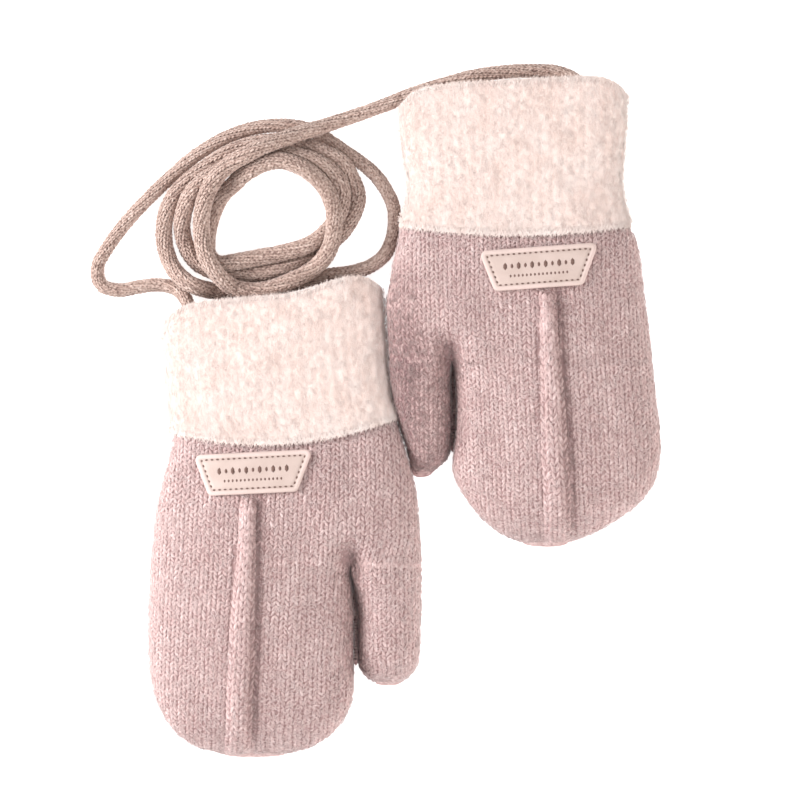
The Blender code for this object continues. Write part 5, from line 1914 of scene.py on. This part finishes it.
def fringe(skin, edge, per_mm, reach, rng):
    """Fleece brushed out past an edge (1 is the lower, -1 the mouth's), in small soft teeth."""
    ring = 2.0 * skin.columns * SKIN_STEP
    count = int(ring / MM * per_mm)
    s = ring * ((np.arange(count) + rng.uniform(0.0, 1.0, count)) / count - 0.5)
    root = skin.length if edge > 0 else 0.0
    held = skin.holds(s, np.full(count, np.clip(root, 0.01 * MM, skin.length - 0.01 * MM)))
    s = s[held][:, None]
    count = len(s)
    teeth = 0.8 + 0.25 * np.sin(2.0 * math.pi * s / TOOTH_PITCH) + 0.12 * rng.normal(0.0, 1.0, (count, 1))
    inside = rng.uniform(0.3, 2.4, (count, 1)) * MM
    outside = reach * teeth * rng.uniform(0.35, 1.1, (count, 1))
    lean = rng.normal(0.0, 0.45, (count, 1)) * reach
    around = s + lean * np.array([[-1.0, 0.0, 1.0]])
    down = root + edge * np.concatenate([-inside, 0.5 * (outside - inside), outside], axis=1)
    points, normals = skin.at(around, down)
    lift = np.array([[0.0, 0.12, -0.05]]) * MM + 0.10 * MM * rng.normal(0.0, 1.0, (count, 1))
    centres = points + normals * lift[..., None]
    widths = 0.14 * MM * rng.uniform(0.7, 1.3, (count, 1)) * TUFT_PLUMP
    tone = np.clip(0.6 + rng.normal(0.0, 0.12, count), 0.0, 1.0)
    return spindles(centres, normals, widths, 0.6 * widths, FINE_SIDES, tone, FLUFF_SOFTNESS)


class MITTENS_OT_cuffs(bpy.types.Operator):
    """Make the two fleecy cuffs: ribbed tubes under tufts and loose fibres"""

    bl_idname = "mittens.cuffs"
    bl_label = "Cuffs"

    def execute(self, context):
        settings = context.scene.mitten_cuff
        cloth = fleece_finish("brushed_cream_cloth", settings, 1.6 * MM)
        fleece = fleece_finish("brushed_cream_fleece", settings, 0.0)
        fuzz = fuzz_finish("fleece_fuzz", settings.cream, settings.blush)
        for number, mitten in enumerate((LEFT, RIGHT)):
            rng = np.random.default_rng(CUFF_SEED + number)
            shell = cuff_shell(mitten, settings, cloth)
            normals = np.array([vertex.normal for vertex in shell.data.vertices])
            shell.data.normals_split_custom_set_from_vertices(airy(normals).tolist())
            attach(shell, "root")
            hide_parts(f"cuff_{mitten.name}")
            skin = cuff_skin(mitten, settings)
            pile = [tufts(skin, settings, rng)] + [fringe(skin, *edge, rng) for edge in FRINGES]
            pile = gathered(pile)
            pile = pile._replace(normals=airy(pile.normals))
            pile = yarn_piece(f"cuff_{mitten.name}_fleece", pile, fleece)
            loose = gathered([fibres(skin, *kind, rng) for kind in CUFF_FIBRES])
            loose = loose._replace(normals=airy(loose.normals))
            fluff = yarn_piece(f"cuff_{mitten.name}_fuzz", loose, fuzz)
        return {"FINISHED"}


# ---- Patches ----

def back_of_hand(mitten, along, across, lift):
    """A point at a lift above the hand's outside, at a plan position."""
    section = section_at(mitten.hand, along)
    for _ in range(4):
        middle, half = span_of(section)
        reach = (across - middle) / half
        row_along = along - section.slant * across - section.bow * (1.0 - reach * reach)
        section = section_at(mitten.hand, row_along)
    point = hand_points(mitten, section, np.array([across]), np.array([True]), 0.0)[0]
    return np.array([across, along, point[2] + lift])


def patch_outline(inset, corner, steps=8):
    """The trapezoid's outline in its own plan, its corners rounded, at an inset."""
    slope = 0.5 * (PATCH_TOP - PATCH_BOTTOM) / PATCH_LENGTH
    side_inset = inset * math.hypot(1.0, slope)
    corners = []
    for end, width in ((-1, PATCH_TOP), (1, PATCH_BOTTOM)):
        down = end * (0.5 * PATCH_LENGTH - inset)
        half = 0.5 * width - slope * inset * (1 if end < 0 else -1) - side_inset
        corners.append((down, half))
    (top, top_half), (bottom, bottom_half) = corners
    loop = [(top, top_half), (bottom, bottom_half), (bottom, -bottom_half), (top, -top_half)]
    rounded = []
    for i, point in enumerate(loop):
        before = unit(np.array(loop[i - 1]) - point)
        after = unit(np.array(loop[(i + 1) % 4]) - point)
        half_angle = 0.5 * math.acos(before.dot(after))
        radius = max(corner - inset, 0.2 * MM)
        reach = radius / math.tan(half_angle)
        centre = np.array(point) + unit(before + after) * radius / math.sin(half_angle)
        start = np.array(point) + before * reach - centre
        end = np.array(point) + after * reach - centre
        for k in range(steps + 1):
            way = blend(start, end, k / steps)
            rounded.append(centre + radius * unit(way))
    return np.array(rounded)


def even_loop(outline, count):
    """Points evenly spaced round a closed outline."""
    closed = np.vstack([outline, outline[:1]])
    lengths = run_lengths(closed)
    return read_along(closed, lengths, lengths[-1] * np.arange(count) / count)


def on_patch(mitten, plan, lift):
    """Points of the patch's own plan (down, sideways), on the back of the hand."""
    points = []
    for down, sideways in plan:
        along = mitten.patch.along * MM + down + mitten.patch.slant * sideways
        points.append(back_of_hand(mitten, along, mitten.patch.across * MM + sideways, lift))
    return np.array(points)


def patch_mesh(mitten, face, rim):
    shell = Shell(mitten)
    loops = []
    for inset, lift in PATCH_PROFILE:
        plan = even_loop(patch_outline(inset * MM, PATCH_CORNER), PATCH_LOOP)
        loops.append(shell.add(on_patch(mitten, plan, SEAM_GAP + lift * MM)))
    bottom_plan = even_loop(patch_outline(0.1 * MM, PATCH_CORNER), PATCH_LOOP)
    bottom = shell.add(on_patch(mitten, bottom_plan, SEAM_GAP))
    shell.bands([bottom] + loops)
    for loop, lift in ((bottom, SEAM_GAP), (loops[-1], SEAM_GAP + PATCH_THICKNESS)):
        shell.cap(loop, on_patch(mitten, [(0.0, 0.0)], lift)[0])
    made = shell.finish(f"patch_{mitten.name}_leatherette", face)
    made.data.materials.append(rim)
    for polygon in made.data.polygons[: RIM_BANDS * PATCH_LOOP]:
        polygon.material_index = 1
    return made


def patch_thread(mitten, settings, rng):
    """Short dashes of thread along the pressed line."""
    outline = patch_outline(settings.margin, PATCH_CORNER)
    around = run_lengths(np.vstack([outline, outline[:1]]))[-1]
    count = int(round(around / settings.stitch))
    plan = even_loop(outline, count * THREAD_FINENESS)
    line = world(mitten, on_patch(mitten, plan, SEAM_GAP + THREAD_LIFT))
    picks = np.arange(count)[:, None] * THREAD_FINENESS + THREAD_PICKS
    centres = line[picks % len(line)].copy()
    centres[..., 2] += np.array([-0.20, 0.02, 0.02, -0.20]) * MM
    widths = 0.24 * MM * THREAD_PLUMP * rng.uniform(0.9, 1.1, (count, 1))
    tone = rng.uniform(0.3, 0.8, count)
    return spindles(centres, upright(centres), widths, 0.75 * widths, THREAD_SIDES, tone)


def patch_ornament(mitten, rng):
    """A row of small lozenges over a row of dots, pressed dark into the face."""
    centres = []
    widths = []
    for marks, pitch, down, sizes in ORNAMENT:
        for number in range(marks):
            sideways = (number - marks // 2) * pitch * MM
            length, width = sizes[number % len(sizes)]
            centres.append([((down + length * share) * MM, sideways) for share in LEG_SHARES - 0.5])
            widths.append(width * MM)
    plan = np.array(centres)
    count = len(plan)
    points = world(mitten, on_patch(mitten, plan.reshape(-1, 2), SEAM_GAP + PATCH_THICKNESS))
    points = points.reshape(count, len(LEG_SHARES), 3)
    half = np.array(widths)[:, None] * THREAD_PLUMP
    height = np.tile(MARK_LIFT * THREAD_PLUMP, (count, 1))
    tone = rng.uniform(0.3, 0.8, count)
    return spindles(points, upright(points), half, height, THREAD_SIDES, tone)


class MITTENS_OT_patches(bpy.types.Operator):
    """Sew the leatherette patches on the backs of the hands"""

    bl_idname = "mittens.patches"
    bl_label = "Patches"

    def execute(self, context):
        settings = context.scene.mitten_patch
        face = leatherette_finish("patch_leatherette", settings.base, settings.light)
        rim = leatherette_finish("patch_rim", settings.light, settings.rim)
        thread = thread_finish("patch_thread", tuple(settings.thread))
        for number, mitten in enumerate((LEFT, RIGHT)):
            rng = np.random.default_rng(PATCH_SEED + number)
            patch = patch_mesh(mitten, face, rim)
            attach(patch, "root")
            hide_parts(f"patch_{mitten.name}")
            sewing = yarn_piece(
                f"patch_{mitten.name}_sewing", patch_thread(mitten, settings, rng), thread,
            )
            ornament = yarn_piece(
                f"patch_{mitten.name}_ornament", patch_ornament(mitten, rng), thread,
            )
        return {"FINISHED"}


class MITTENS_PT_panel(bpy.types.Panel):
    """Steps and settings of the mittens, in the order they are made"""

    bl_idname = "MITTENS_PT_panel"
    bl_label = "Baby Mittens"
    bl_space_type = "VIEW_3D"
    bl_region_type = "UI"
    bl_category = "Mittens"

    def draw(self, context):
        for operator, group, settings in STEPS:
            box = self.layout.box()
            box.operator(operator.bl_idname)
            for name in settings.__annotations__:
                box.prop(getattr(context.scene, group), name)


# Each step's operator, the name of its settings in the scene, and their group.
STEPS = (
    (MITTENS_OT_stage, "mitten_stage", StageSettings),
    (MITTENS_OT_cord, "mitten_cord", CordSettings),
    (MITTENS_OT_hands, "mitten_knit", KnitSettings),
    (MITTENS_OT_cuffs, "mitten_cuff", CuffSettings),
    (MITTENS_OT_patches, "mitten_patch", PatchSettings),
)


def register():
    for operator, group, settings in STEPS:
        bpy.utils.register_class(settings)
        setattr(bpy.types.Scene, group, PointerProperty(type=settings))
        bpy.utils.register_class(operator)
    bpy.utils.register_class(MITTENS_PT_panel)


def unregister():
    bpy.utils.unregister_class(MITTENS_PT_panel)
    for operator, group, settings in reversed(STEPS):
        bpy.utils.unregister_class(operator)
        delattr(bpy.types.Scene, group)
        bpy.utils.unregister_class(settings)


def main():
    register()
    bpy.ops.mittens.stage()
    bpy.ops.mittens.cord()
    bpy.ops.mittens.hands()
    bpy.ops.mittens.cuffs()
    bpy.ops.mittens.patches()


if __name__ == "__main__":
    main()
